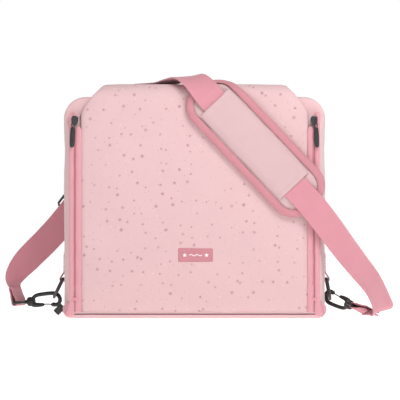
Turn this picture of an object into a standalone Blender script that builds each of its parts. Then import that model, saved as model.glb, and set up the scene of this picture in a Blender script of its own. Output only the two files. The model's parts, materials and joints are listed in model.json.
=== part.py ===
"""A soft box-shaped baby bag: a zip-down front flap, a padded lip over the top, and a webbing shoulder
strap with a sliding pad, an adjuster and two snap hooks. Metres, +Z up, the front of the bag faces -Y.
The origin is the centre of the base, on the surface that the bag stands on."""

from math import asin, cos, pi, radians, sin, sqrt

import bmesh
import bpy
from mathutils import Matrix, Vector

MM = 0.001

# Driving sizes of the body, in millimetres
HALF_WIDTH = 170.0          # widest point of the bulging sides
BODY_TOP = 286.0
FRONT_Y = -70.0             # outer face of the closed flap
BACK_Y = 70.0
TOP_CORNER = 28.0
FOOT_CORNER = 12.0
BASE_THICK = 6.6
CLOTH = 1.2
SIDE_FRONT_Y = -66.0
SIDE_BACK_Y = 68.2
SIDE_FRONT_HALF = 160.5     # the sides are narrower at the front frame than at the back seam
SIDE_BACK_HALF = 165.0
SIDE_BULGE = 7.0
GAP = 0.3

# Flap: a front sheet that bends over the top as a lip
HINGE_Z = 7.0
FLAP_HALF = 146.0
FLAP_SHOULDER_Z = 262.0     # above this the flap narrows towards the lip
LIP_HALF = 119.0
LIP_TOP = 300.0
LIP_BEND = 14.0
LIP_END_Y = 45.0
FLAP_INNER_Y = -62.2
LIP_UNDER_Z = 289.6

# Zips, as distances from the centre plane
BODY_COIL = (154.1, 156.3)
FLAP_COIL = (150.7, 152.9)
COIL_Y = (-71.1, -69.6)
TAPE_Y = (-69.3, -68.7)
SLIDER_X = (148.6, 158.4)
SLIDER_Z = (248.0, 260.0)
SLIDER_TRAVEL = 218.0
FLAP_CHAIN_Z = (44.0, 246.5)
SLIDER_Y = (-73.2, -66.8)
PULLER_PIVOT = (155.5, -74.6, 251.0)    # the middle of the puller's top bar
PULLER_LENGTH = 32.0
PULLER_HALF = 3.2
PULLER_LEAN = 3.0           # outwards, in degrees
BRIDGE_RADIUS = 2.35        # the slider's bridge is an arc about the puller's top bar
BRIDGE_WIRE = 0.6

# Strap hardware
WEB_WIDTH = 35.0
WEB_THICK = 1.8
RING_Y = 52.0
RING_BAR = (173.8, 48.0)    # distance from the centre plane, and height, of the ring's straight bar
RING_DEPTH = 27.0
RING_WIRE = 2.0
HOOK_WIRE = 2.3
EYE_REACH = 50.0            # from the ring's rod to the eye's bar, along the hook
EYE_OFFSET = -3.0

# Strap pad, in its own length and width
PAD_LENGTH = 212.0
PAD_WIDTH = 72.0
PAD_CORNER = 28.0
PAD_UPPER = 30.0            # how far the pad reaches above its sleeve
PAD_BACK = 2.3              # stand-off from the flap
PAD_THICK = 6.0
PAD_EDGE = 4.0              # how far the cushion stops short of the binding's middle
PAD_BINDING = 2.2
SLEEVE_HALF = 25.5
SLEEVE_OFFSET = 13.5
STRAP_RUN = Vector((0.688, -0.726))    # down the front, in x and z
SLEEVE_TOP = Vector((25.9, 277.1))
SLEEVE_LENGTH = 148.0

PINK = (0.83, 0.62, 0.62, 1)
ROSE = (0.72, 0.32, 0.38, 1)
FOAM = (0.9, 0.9, 0.88, 1)
BLACK = (0.03, 0.03, 0.03, 1)

# Turns a plate drawn in x and z so that its thickness runs from front to back
UPRIGHT = Matrix(((1, 0, 0, 0), (0, 0, 1, 0), (0, 1, 0, 0), (0, 0, 0, 1)))

materials = {}


def clear_scene():
    for thing in list(bpy.data.objects):
        bpy.data.objects.remove(thing, do_unlink=True)


def collection(name):
    made = bpy.data.collections.new(name)
    bpy.context.scene.collection.children.link(made)
    return made


def material(name, colour, roughness, metallic=0.0):
    made = bpy.data.materials.new(name)
    made.use_nodes = True
    shader = made.node_tree.nodes["Principled BSDF"]
    shader.inputs["Base Color"].default_value = colour
    shader.inputs["Roughness"].default_value = roughness
    shader.inputs["Metallic"].default_value = metallic
    materials[name] = made


def add(name, mesh, look, origin=(0, 0, 0)):
    """A named part from a mesh in world millimetres, with its origin moved to the given point."""
    mesh.transform(Matrix.Translation(-Vector(origin)))
    mesh.transform(Matrix.Scale(MM, 4))
    thing = bpy.data.objects.new(name, mesh)
    thing.location = Vector(origin) * MM
    PARTS.objects.link(thing)
    mesh.materials.append(materials[look])
    return thing


def mesh_of(bm, name):
    mesh = bpy.data.meshes.new(name)
    bm.to_mesh(mesh)
    bm.free()
    return mesh


def box_mesh(name, low, high):
    bm = bmesh.new()
    size = Vector(high) - Vector(low)
    middle = (Vector(high) + Vector(low)) / 2
    place = Matrix.Translation(middle) @ Matrix.Diagonal((*size, 1))
    bmesh.ops.create_cube(bm, size=1, matrix=place)
    return mesh_of(bm, name)


def box(name, low, high, look, bevel=0.0, origin=(0, 0, 0)):
    low, high = zip(*(sorted(pair) for pair in zip(low, high)))
    thing = add(name, box_mesh(name, low, high), look, origin)
    if bevel:
        edge = thing.modifiers.new("rounded edges", "BEVEL")
        edge.width = bevel * MM
        edge.segments = 2
    return thing


def baked(thing):
    """The object's evaluated mesh, welded, in world millimetres. The object is removed."""
    bpy.context.view_layer.update()
    seen = thing.evaluated_get(bpy.context.evaluated_depsgraph_get())
    mesh = bpy.data.meshes.new_from_object(seen)
    mesh.transform(thing.matrix_world)
    mesh.transform(Matrix.Scale(1 / MM, 4))
    mesh.materials.clear()
    bm = bmesh.new()
    bm.from_mesh(mesh)
    bmesh.ops.remove_doubles(bm, verts=bm.verts, dist=0.001)
    bmesh.ops.recalc_face_normals(bm, faces=bm.faces)
    bm.to_mesh(mesh)
    bm.free()
    bpy.data.objects.remove(thing, do_unlink=True)
    return mesh


def wire_mesh(points, radius, cyclic=False, sides=2):
    """A round wire through the points, as a mesh."""
    curve = bpy.data.curves.new("wire", "CURVE")
    curve.dimensions = "3D"
    curve.bevel_depth = radius * MM
    curve.bevel_resolution = sides
    curve.use_fill_caps = not cyclic
    line = curve.splines.new("POLY")
    line.points.add(len(points) - 1)
    for spot, point in zip(line.points, points):
        spot.co = (*(Vector(point) * MM), 1)
    line.use_cyclic_u = cyclic
    thing = bpy.data.objects.new("wire", curve)
    PARTS.objects.link(thing)
    return baked(thing)


def plate_mesh(outlines, low, high, turn=Matrix()):
    """A flat plate: closed outlines in a plane, later ones being holes, from height low to high."""
    curve = bpy.data.curves.new("plate", "CURVE")
    curve.dimensions = "2D"
    curve.fill_mode = "BOTH"
    curve.extrude = (high - low) / 2 * MM
    for outline in outlines:
        line = curve.splines.new("POLY")
        line.points.add(len(outline) - 1)
        for spot, (x, y) in zip(line.points, outline):
            spot.co = (x * MM, y * MM, 0, 1)
        line.use_cyclic_u = True
    thing = bpy.data.objects.new("plate", curve)
    thing.matrix_world = turn @ Matrix.Translation((0, 0, (high + low) / 2 * MM))
    PARTS.objects.link(thing)
    return baked(thing)


def arc(centre, radius, start, end, steps):
    """Points on an arc, with angles in degrees from the first axis."""
    angles = (radians(start + (end - start) * i / steps) for i in range(steps + 1))
    return [(centre[0] + radius * cos(a), centre[1] + radius * sin(a)) for a in angles]


def sheet(name, place, across, along, thick, look, side=-1):
    """A curved sheet: a grid whose points go where place(u, v) says, made solid."""
    bm = bmesh.new()
    bmesh.ops.create_grid(bm, x_segments=across, y_segments=along, size=0.5)
    for vert in bm.verts:
        vert.co = place(vert.co.x + 0.5, vert.co.y + 0.5)
    thing = add(name, mesh_of(bm, name), look)
    solid = thing.modifiers.new("cloth", "SOLIDIFY")
    solid.thickness = thick * MM
    solid.offset = side
    return thing


def smooth_through(points, steps):
    """A smooth curve through hand-chosen rows of numbers (Catmull-Rom), with steps between each pair."""
    rows = [Vector(row) for row in points]
    rows = [rows[0] * 2 - rows[1], *rows, rows[-1] * 2 - rows[-2]]
    found = []
    for a, b, c, d in zip(rows, rows[1:], rows[2:], rows[3:]):
        for i in range(steps):
            t = i / steps
            found.append(0.5 * (2 * b + (c - a) * t + (2 * a - 5 * b + 4 * c - d) * t**2
                                + (3 * b - a - 3 * c + d) * t**3))
    return [*found, rows[-2]]


def ribbon(name, centres, widths, width, thick, look):
    """Webbing along the centres, with its width along the matching directions."""
    count = len(centres) - 1

    def place(u, v):
        at = round(v * count)
        run = centres[min(at + 1, count)] - centres[max(at - 1, 0)]
        wide = widths[at] - run * (widths[at].dot(run) / run.length_squared)
        return centres[at] + wide.normalized() * (u - 0.5) * width

    return sheet(name, place, 1, count, thick, look, side=0)


def combine(thing, mesh, kind):
    """Joins a mesh to a part, or cuts it away, with a Boolean that is kept on the part."""
    cutter = bpy.data.objects.new(thing.name + "_" + kind.lower(), mesh)
    mesh.transform(Matrix.Scale(MM, 4))
    cutter.hide_render = True
    cutter.display_type = "WIRE"
    CUTTERS.objects.link(cutter)
    step = thing.modifiers.new(kind.lower(), "BOOLEAN")
    step.operation = kind
    step.object = cutter


# Body

def depth_share(y):
    return (y - SIDE_FRONT_Y) / (SIDE_BACK_Y - SIDE_FRONT_Y)


def side_half(y):
    """How far the side stands from the centre plane at a depth."""
    t = depth_share(y)
    return SIDE_FRONT_HALF + (SIDE_BACK_HALF - SIDE_FRONT_HALF) * t + SIDE_BULGE * 4 * t * (1 - t)


def inset(y):
    return HALF_WIDTH - side_half(y)


def side_panel(name, side):
    def place(u, v):
        y = SIDE_FRONT_Y + (SIDE_BACK_Y - SIDE_FRONT_Y) * u
        z = HINGE_Z + (BODY_TOP - TOP_CORNER - GAP - HINGE_Z) * v
        return Vector((side * side_half(y), y, z))

    return sheet(name, place, 8, 3, CLOTH, "star_fabric", side=-side)


def top_panel():
    """The top with both its rounded corners, from the head of one side to the head of the other."""
    flat = 2 * (HALF_WIDTH - TOP_CORNER)
    bend = TOP_CORNER * pi / 2
    stations = ([i / 6 * bend for i in range(6)] + [bend + flat * i / 4 for i in range(5)]
                + [bend + flat + i / 6 * bend for i in range(1, 7)])

    def place(u, v):
        front = FLAP_INNER_Y + 0.7
        y = front + (SIDE_BACK_Y - front) * u
        at = stations[round(v * (len(stations) - 1))]
        centre_z = BODY_TOP - TOP_CORNER
        if at < bend:
            angle = pi - at / TOP_CORNER
            centre_x = -flat / 2
        elif at > bend + flat:
            angle = pi / 2 - (at - bend - flat) / TOP_CORNER
            centre_x = flat / 2
        else:
            angle = pi / 2
            centre_x = at - bend - flat / 2
        radius = TOP_CORNER - inset(y) * (0.2 + 0.8 * cos(angle) ** 2)
        return Vector((centre_x + radius * cos(angle), y, centre_z + radius * sin(angle)))

    return sheet("top_panel", place, 6, len(stations) - 1, CLOTH, "plain_fabric", side=1)


def rounded(half, low, high, top_radius, foot_radius):
    """A rounded rectangle about the centre plane, anticlockwise from the lower right."""
    return (arc((half - foot_radius, low + foot_radius), foot_radius, -90, 0, 4)
            + arc((half - top_radius, high - top_radius), top_radius, 0, 90, 5)
            + arc((top_radius - half, high - top_radius), top_radius, 90, 180, 5)
            + arc((foot_radius - half, low + foot_radius), foot_radius, 180, 270, 4))


def body_shell():
    side_panel("left_side_panel", -1)
    side_panel("right_side_panel", 1)
    top_panel()
    back = rounded(SIDE_BACK_HALF, HINGE_Z, BODY_TOP - 2, 26, 6)
    add("back_panel", plate_mesh([back], SIDE_BACK_Y + GAP, BACK_Y, UPRIGHT), "star_fabric")
    turn = -180 / pi * asin((FOOT_CORNER - BASE_THICK) / FOOT_CORNER)
    corner = arc((HALF_WIDTH - FOOT_CORNER - 1, FOOT_CORNER), FOOT_CORNER, -90, turn, 4)
    foot = corner + [(-x, z) for x, z in reversed(corner)]
    add("base_panel", plate_mesh([foot], FRONT_Y + GAP, BACK_Y - GAP, UPRIGHT), "plain_fabric")


def body_inside():
    foam_half = SIDE_FRONT_HALF - CLOTH - GAP
    for name, side in (("left_foam", -1), ("right_foam", 1)):
        box(name, (side * (foam_half - 3.7), -60, 8), (side * foam_half, 62, 256), "foam", 1)
    pad_outline = rounded(foam_half - 1, 8, 276, 26, 6)
    add("back_foam", plate_mesh([pad_outline], 63, 68.2, UPRIGHT), "foam")
    box("top_foam", (-140, -60, 279), (140, 62, 282.4), "foam", 1)
    box("base_board", (-152, -60, 7.2), (152, 62, 9.8), "board", 0.8)
    outer = rounded(foam_half - 4, 10.2, 278.6, 18, 8)
    lining = add("lining", plate_mesh([outer], -61, 62.7, UPRIGHT), "lining_cloth")
    inner = rounded(foam_half - 4.8, 11, 277.8, 17.2, 7.2)
    combine(lining, plate_mesh([inner], -80, 61.9, UPRIGHT), "DIFFERENCE")
    box("inner_pocket", (-110, 60.3, 22), (110, 61.3, 140), "lining_cloth", 0.3)
    box("pocket_elastic", (-110, 58.6, 133), (110, 60, 140), "webbing", 0.3)


def trim():
    piping = rounded(SIDE_BACK_HALF + 2.6, HINGE_Z + 0.6, BODY_TOP + 0.6, 28, 10)
    path = [(x, BACK_Y + 1.6, z) for x, z in piping]
    add("rear_piping", wire_mesh(path, 1.2, cyclic=True, sides=1), "webbing")
    for name, side in (("left_zip_end_patch", -1), ("right_zip_end_patch", 1)):
        box(name, (side * 150, -70, 7.2), (side * 160.2, -67, 21.5), "webbing", 0.6)
    tab = box("left_corner_tab", (-7, -2.5, -5), (7, 2.5, 5), "black_plastic", 0.8)
    tab.location = Vector((-174.2, -48, 11)) * MM
    tab.rotation_euler = (0, radians(-45), 0)
    box("top_loop_strip", (-95, -10, BODY_TOP + GAP), (95, 30, BODY_TOP + 1.7), "black_cloth", 0.3)


# Zips

def zip_side(name, side):
    box(name + "_body_tape", (side * BODY_COIL[0], TAPE_Y[0], 22), (side * 160.2, TAPE_Y[1], 262), "webbing")
    box(name + "_flap_tape", (side * (FLAP_HALF + GAP), TAPE_Y[0], FLAP_CHAIN_Z[0]),
        (side * 152.4, TAPE_Y[1], FLAP_CHAIN_Z[1]), "webbing")
    for part, coil, low, high in (("body", BODY_COIL, 27.6, 262), ("flap", FLAP_COIL, *FLAP_CHAIN_Z)):
        box(f"{name}_{part}_coil", (side * coil[0], COIL_Y[0], low), (side * coil[1], COIL_Y[1], high),
            "coil", 0.4)
    box(name + "_bottom_stop", (side * FLAP_COIL[0], -71.6, 22.5), (side * BODY_COIL[1], -69.6, 27.3),
        "black_metal", 0.4)
    box(name + "_top_stop", (side * BODY_COIL[0], -71.6, 262.3), (side * BODY_COIL[1], -69.6, 265),
        "black_metal", 0.4)
    slider(name, side)
    puller(name, side)


def slider(name, side):
    """A slider with a tunnel for both coils, open at each side for the tapes, and a bridge in front."""
    low, high = SLIDER_Z
    inner, outer = SLIDER_X
    body = box(name + "_slider", (side * inner, SLIDER_Y[0], low), (side * outer, SLIDER_Y[1], high),
               "black_metal", origin=(side * (inner + outer) / 2, FRONT_Y, high))
    past = 5.0
    wall = 1.0
    half_post, post_length = 0.25, 4.0
    parting = (BODY_COIL[0] + FLAP_COIL[1]) / 2
    coil_y, tape_y = (-71.6, -68.0), (-69.9, -68.0)
    cuts = ((inner + wall, parting - half_post, coil_y, high + past),
            (parting + half_post, outer - wall, coil_y, high + past),
            (inner + wall, outer - wall, coil_y, high - post_length),
            (inner - past, inner + wall + GAP, tape_y, high + past),
            (outer - wall - GAP, outer + past, tape_y, high + past))
    for near, far, depth, top in cuts:
        left, right = sorted((side * near, side * far))
        combine(body, box_mesh("tunnel", (left, depth[0], low - past), (right, depth[1], top)), "DIFFERENCE")
    x, y, z = PULLER_PIVOT
    bridge = [(side * x, py, pz) for py, pz in arc((y, z), BRIDGE_RADIUS, 40, 320, 14)]
    combine(body, wire_mesh(bridge, BRIDGE_WIRE, sides=1), "UNION")


def puller(name, side):
    """A flat puller, hanging by the bar above its slot inside the slider's bridge."""
    half = PULLER_HALF
    neck = [(2.9, -9), (2.2, -5.6), (2.4, 0.9)]
    outline = (arc((0, half - PULLER_LENGTH), half, 180, 360, 8) + neck
               + [(-x, z) for x, z in reversed(neck)])
    slot = [(-1.2, -0.9), (-1.2, -4.4), (1.2, -4.4), (1.2, -0.9)]
    mesh = plate_mesh([outline, slot], -0.7, 0.7, UPRIGHT)
    x, y, z = PULLER_PIVOT
    pivot = (side * x, y, z)
    mesh.transform(Matrix.Translation(pivot) @ Matrix.Rotation(radians(-side * PULLER_LEAN), 4, "Y"))
    add(name + "_puller", mesh, "black_metal", origin=pivot)


# Flap

def flap_half(z):
    """Half the flap's width: straight, then drawn in over the shoulder to the lip."""
    share = min(max((z - FLAP_SHOULDER_Z) / (LIP_TOP - FLAP_SHOULDER_Z), 0), 1)
    return FLAP_HALF - (FLAP_HALF - LIP_HALF) * share**1.3


def flap_path(front, top, bend, end):
    """The flap's section in y and z: up the front, round the bend and back along the lip."""
    heights = (HINGE_Z + GAP, 100, 190, FLAP_SHOULDER_Z, 274, top - bend)
    climb = [(front, z) for z in heights]
    turn = arc((front + bend, top - bend), bend, 180, 90, 5)[1:]
    return climb + turn + [((front + bend + end) / 2, top), (end, top)]


def flap_sheet(name, path, thick, look, trim_edge, side):
    def place(u, v):
        y, z = path[round(v * (len(path) - 1))]
        return Vector(((u - 0.5) * 2 * (flap_half(z) - trim_edge), y, z))

    return sheet(name, place, 4, len(path) - 1, thick, look, side=side)


def flap():
    flap_sheet("flap_outer", flap_path(FRONT_Y, LIP_TOP, LIP_BEND, LIP_END_Y), CLOTH, "star_fabric", 0, -1)
    flap_sheet("flap_lining", flap_path(FLAP_INNER_Y, LIP_UNDER_Z, 4, LIP_END_Y), 1, "lining_cloth", 1.5, 1)
    box("flap_foam", (-140, -68.4, 10), (140, -63.6, 258), "foam", 1)
    box("lip_foam", (-112, -50, 291), (112, 42, 298.4), "foam", 1)
    box("flap_hook_strip", (-95, -10, BODY_TOP + 2), (95, 30, LIP_UNDER_Z - GAP), "black_cloth", 0.3)
    box("label_patch", (-21, FRONT_Y - 1.3, 72.4), (24, FRONT_Y - GAP, 90.2), "webbing", 0.4)


# Strap anchors and hooks

def ring_tab(name, side):
    """Webbing folded round the ring's bar and sewn to the side wall."""
    x, z = RING_BAR
    wall = side_half(RING_Y - 12) + GAP
    loop = arc((x, z), 4.4, 160, 400, 12)
    outline = [(wall, z + 34), (wall, z + 4)] + loop + [(wall + 2.2, z + 9), (wall + 2.2, z + 34)]
    hole = arc((x, z), 2.5, 0, 360, 12)[:-1]
    outline = [(side * px, pz) for px, pz in outline]
    hole = [(side * px, pz) for px, pz in hole]
    add(name, plate_mesh([outline, hole], RING_Y - 12, RING_Y + 12, UPRIGHT), "webbing")


def ring_frame(side, lean):
    """Where a ring's bar is, and the direction it hangs in."""
    pivot = Vector((side * RING_BAR[0], RING_Y, RING_BAR[1]))
    return pivot, Vector((side * sin(radians(lean)), 0, -cos(radians(lean))))


def d_ring(name, side, lean):
    pivot, down = ring_frame(side, lean)
    half = 16.0
    bend = arc((0, RING_DEPTH - half), half, 0, 180, 12)
    path = [(half, 0)] + bend + [(-half, 0)]
    points = [pivot + Vector((0, w, 0)) + down * d for w, d in path]
    add(name, wire_mesh(points, RING_WIRE, cyclic=True), "black_metal", origin=pivot)


class HookFrame:
    """A hook's own axes: along it from the ring's rod to the eye, towards its spine, and across."""

    def __init__(self, rod, along, spine_up):
        self.rod = rod
        self.u = along.normalized()
        up = Vector((0, 0, spine_up))
        self.v = (up - self.u * up.dot(self.u)).normalized()
        self.w = self.u.cross(self.v)

    def at(self, u, v, w=0.0):
        return self.rod + self.u * u + self.v * v + self.w * w

    def rolled(self, degrees):
        """The axes of the eye, turned about the hook's swivel."""
        eye = HookFrame(self.rod, self.u, 1)
        turn = Matrix.Rotation(radians(degrees), 3, self.u)
        eye.v, eye.w = turn @ self.v, turn @ self.w
        eye.rod = self.rod + (self.v - eye.v) * EYE_OFFSET
        return eye

    def turned(self, mesh, u, v):
        """Moves a mesh made about the Z axis so that Z runs along the hook at (u, v)."""
        turn = Matrix((self.v, self.w, self.u)).transposed().to_4x4()
        mesh.transform(Matrix.Translation(self.at(u, v)) @ turn)
        return mesh


def cylinder_mesh(radius, low, high, sides=16, tip=None):
    bm = bmesh.new()
    end = radius if tip is None else tip
    bmesh.ops.create_cone(bm, cap_ends=True, segments=sides, radius1=radius, radius2=end, depth=high - low)
    bmesh.ops.translate(bm, verts=bm.verts, vec=(0, 0, (high + low) / 2))
    return mesh_of(bm, "cylinder")


def snap_hook(name, frame):
    spine = [(31, EYE_OFFSET), (29, 1.5), (24, 4.6), (12, 5.6), (0, 5.4), (-5.2, 3.2), (-8, -2),
             (-7.2, -7), (-3, -9.8), (2.2, -9.4)]
    path = [frame.at(*row) for row in smooth_through(spine, 2)]
    hook = add(name, wire_mesh(path, HOOK_WIRE), "black_plastic", origin=frame.rod)
    barrel = frame.turned(cylinder_mesh(6.2, 28, 37), 0, EYE_OFFSET)
    combine(hook, barrel, "UNION")
    lug = frame.turned(cylinder_mesh(2.6, 0, 13, 10, 3.6), 16.4, -8.2)
    combine(hook, lug, "UNION")
    bore = frame.turned(cylinder_mesh(2.4, 31, 40), 0, EYE_OFFSET)
    combine(hook, bore, "DIFFERENCE")


def swivel_eye(name, frame):
    """The strap's bar in a flat loop, on a stem that turns in the hook's barrel."""
    half = 20.5
    near, far = 41.5, EYE_REACH
    loop = [(near, -half + 2), (near, half - 2), (near + 2, half), (far - 2, half), (far, half - 2),
            (far, -half + 2), (far - 2, -half), (near + 2, -half)]
    points = [frame.at(u, EYE_OFFSET, w) for u, w in loop]
    eye = add(name, wire_mesh(points, 1.8, cyclic=True), "black_plastic",
              origin=frame.at(near, EYE_OFFSET))
    combine(eye, frame.turned(cylinder_mesh(2.1, 31.4, 41.4), 0, EYE_OFFSET), "UNION")


def gate(name, frame):
    """The thin spring leaf that closes the hook's mouth."""
    start, tip = frame.at(16, -8.4), frame.at(5.2, -8.9)
    add(name, wire_mesh([start, start.lerp(tip, 0.5), tip], 0.9), "black_metal", origin=start)


def strap_end(name, frame, run):
    """The end of the webbing, folded round the eye's bar, and where the strap goes on from it."""
    bar = frame.at(EYE_REACH, EYE_OFFSET)
    run = (run - frame.w * run.dot(frame.w)).normalized()
    out = frame.w.cross(run)
    loop = [(16, 1.4), (7, 2.6)] + arc((0, 0), 3.5, 65, 295, 8) + [(7, -2.6), (16, -1.4)]
    centres = [bar + run * a + out * b for a, b in loop]
    ribbon(name, centres, [frame.w] * len(centres), WEB_WIDTH, 1.6, "webbing")
    return bar + run * 17.5


# Strap and pad

def on_flap(x, height, offset):
    """A point at a distance along the flap's outside, held off it: straight up, then over the bend."""
    corner = LIP_TOP - LIP_BEND
    if height <= corner:
        return Vector((x, FRONT_Y - offset, height))
    angle = min((height - corner) / (LIP_BEND + PAD_BACK + PAD_THICK), pi / 2)
    radius = LIP_BEND + offset
    over = height - corner - angle * (LIP_BEND + PAD_BACK + PAD_THICK)
    return Vector((x, FRONT_Y + LIP_BEND - radius * cos(angle) + over, corner + radius * sin(angle)))


def on_pad(along, across, offset):
    """A point on the pad, from its upper end and its middle line."""
    side = Vector((-STRAP_RUN.y, STRAP_RUN.x))
    flat = SLEEVE_TOP + STRAP_RUN * (along - PAD_UPPER) + side * across
    return on_flap(flat.x, flat.y, offset)


def pad_half(along, edge):
    """Half the width of the pad's rounded outline, drawn in by edge all round."""
    radius = PAD_CORNER - edge
    near = min(along, PAD_LENGTH - along) - edge
    short = max(radius - near, 0)
    return PAD_WIDTH / 2 - PAD_CORNER + sqrt(max(radius**2 - short**2, 0))


def pad_sheet(name, low, high, half, offset, thick, look, rows):
    def place(u, v):
        along = low + (high - low) * v
        return on_pad(along, (u - 0.5) * 2 * half(along), offset)

    return sheet(name, place, 4, rows, thick, look, side=1)


def pad():
    pad_sheet("pad_base", PAD_EDGE, PAD_LENGTH - PAD_EDGE, lambda along: pad_half(along, PAD_EDGE),
              PAD_BACK + PAD_THICK, PAD_THICK, "plain_fabric", 26)
    half, radius = PAD_WIDTH / 2, PAD_CORNER
    lower = arc((PAD_LENGTH - radius, half - radius), radius, 90, 0, 7)
    upper = arc((radius, half - radius), radius, 180, 90, 7)
    straight = [(radius + (PAD_LENGTH - 2 * radius) * i / 16, half) for i in range(1, 16)]
    rim = upper + straight + lower
    rim += [(along, -across) for along, across in reversed(rim)]
    points = [on_pad(along, across, PAD_BACK + PAD_THICK / 2) for along, across in rim]
    add("pad_binding", wire_mesh(points, PAD_BINDING, cyclic=True, sides=1), "webbing")
    pad_sheet("pad_sleeve", PAD_UPPER, PAD_UPPER + SLEEVE_LENGTH, lambda along: SLEEVE_HALF, SLEEVE_OFFSET,
              CLOTH, "plain_fabric", 16)


def strap_route(start, end):
    """Rows of centre and width direction, from the left hook behind the bag and down the front."""
    down = Vector((-STRAP_RUN.y, STRAP_RUN.x))
    front = (down.x, 0.0, down.y)
    return [
        (*start, 0.3, 0.95, 0.0),
        (-240, 70.5, 46, 0.56, 0.8, -0.2),
        (-233, 72.5, 60, 0.68, 0.55, -0.45),
        (-218, 74.5, 77, 0.74, 0.2, -0.63),
        (-196, 76, 99, 0.755, 0.05, -0.65),
        (-173, 77, 125, 0.77, 0.0, -0.64),
        (-143, 77.5, 164, 0.79, 0.0, -0.6),
        (-113, 77.5, 208, 0.84, 0.0, -0.54),
        (-90, 77.5, 250, 0.88, 0.0, -0.46),
        (-77, 77.5, 278, 0.92, 0.0, -0.36),
        (-70, 75, 294, 0.95, 0.1, -0.2),
        (-64, 66, 302, 0.96, 0.2, -0.08),
        (-56, 48, 304.5, 0.95, 0.3, 0.0),
        (-44, 18, 304.2, 0.94, 0.34, 0.0),
        (-34, -15, 304.4, 0.92, 0.38, 0.0),
        (-24, -42, 307.0, 0.86, 0.48, 0.0),
        (-12, -60.5, 310.0, 0.8, 0.58, 0.1),
        (1.5, -74, 304.6, 0.74, 0.48, 0.47),
        (15, -81.3, 290.0, 0.726, 0.1, 0.68),
        (25.9, -80.8, 277.1, *front),
        (76.8, -80.8, 223.4, *front),
        (127.7, -80.8, 169.6, *front),
        (150, -80.6, 145.6, *front),
        (171, -78, 119, 0.74, 0.1, 0.66),
        (192, -70, 91, 0.74, 0.3, 0.58),
        (212, -56, 66, 0.7, 0.5, 0.45),
        (229, -40, 45, 0.66, 0.66, 0.28),
        (239, -27, 27, 0.63, 0.72, 0.18),
        (243.5, -15, 13.5, 0.63, 0.75, 0.1),
        (242, -3, 7.2, 0.67, 0.72, 0.14),
        (*end, 0.69, 0.66, 0.29),
    ]


def adjuster():
    """A tri-glide: two end bars behind the webbing, a middle bar in front, and two side rails."""
    run = Vector((0.61, 0.0, 0.79)).normalized()
    wide = Vector((run.z, 0, -run.x))
    middle = Vector((-158.5, 77.4, 143.8))
    out = Vector((0, 1, 0))
    rail = WEB_WIDTH / 2 + 2.8
    thing = add("strap_adjuster", wire_mesh([middle + wide * s * rail + run * r + out * 2.6
                                             for s, r in ((-1, -12), (1, -12), (1, 12), (-1, 12))],
                                            1.5, cyclic=True), "black_plastic", origin=middle)
    bar = [middle - wide * rail + out * 2.6, middle - wide * (rail - 0.5) - out * 2.4,
           middle + wide * (rail - 0.5) - out * 2.4, middle + wide * rail + out * 2.6]
    combine(thing, wire_mesh(bar, 1.3), "UNION")


def strap_and_hooks():
    sides = (("left", -1, 25.7, Vector((-0.95, 0.3, -0.09)), 1.0, 0, Vector((-0.28, 0.1, 1))),
             ("right", 1, 10.8, Vector((0.71, -0.62, -0.29)), -1.0, -18, Vector((0.8, -0.55, -0.12))))
    joins = {}
    for name, side, lean, along, spine, roll, run in sides:
        ring_tab(name + "_ring_tab", side)
        d_ring(name + "_d_ring", side, lean)
        pivot, down = ring_frame(side, lean)
        frame = HookFrame(pivot + down * RING_DEPTH, along, spine)
        snap_hook(name + "_hook", frame)
        gate(name + "_gate", frame)
        eye = frame.rolled(roll)
        swivel_eye(name + "_swivel_eye", eye)
        joins[name] = strap_end(name + "_strap_end", eye, run)
    rows = smooth_through(strap_route(joins["left"], joins["right"]), 3)
    centres = [Vector(row[:3]) for row in rows]
    widths = [Vector(row[3:]).normalized() for row in rows]
    ribbon("shoulder_strap", centres, widths, WEB_WIDTH, WEB_THICK, "webbing")


clear_scene()
PARTS = collection("baby_bag")
CUTTERS = collection("cutters")
material("star_fabric", PINK, 0.85)
material("plain_fabric", PINK, 0.85)
material("lining_cloth", (0.86, 0.8, 0.8, 1), 0.8)
material("webbing", ROSE, 0.8)
material("coil", ROSE, 0.5)
material("foam", FOAM, 0.95)
material("board", (0.3, 0.3, 0.3, 1), 0.7)
material("black_plastic", BLACK, 0.4)
material("black_metal", BLACK, 0.35, 0.8)
material("black_cloth", (0.02, 0.02, 0.02, 1), 0.95)
body_shell()
body_inside()
trim()
zip_side("left", -1)
zip_side("right", 1)
flap()
strap_and_hooks()
adjuster()
pad()
for part in PARTS.objects:
    part.data.set_sharp_from_angle(angle=radians(40))
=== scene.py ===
"""The looks of the baby bag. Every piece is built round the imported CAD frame, in millimetres until it
becomes a mesh, and rides on a CAD body. The front of the bag faces -Y and +Z is up."""

import json
from math import atan2, cos, exp, pi, radians, sin, sqrt

import bpy
from mathutils import Matrix, Vector, noise

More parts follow.
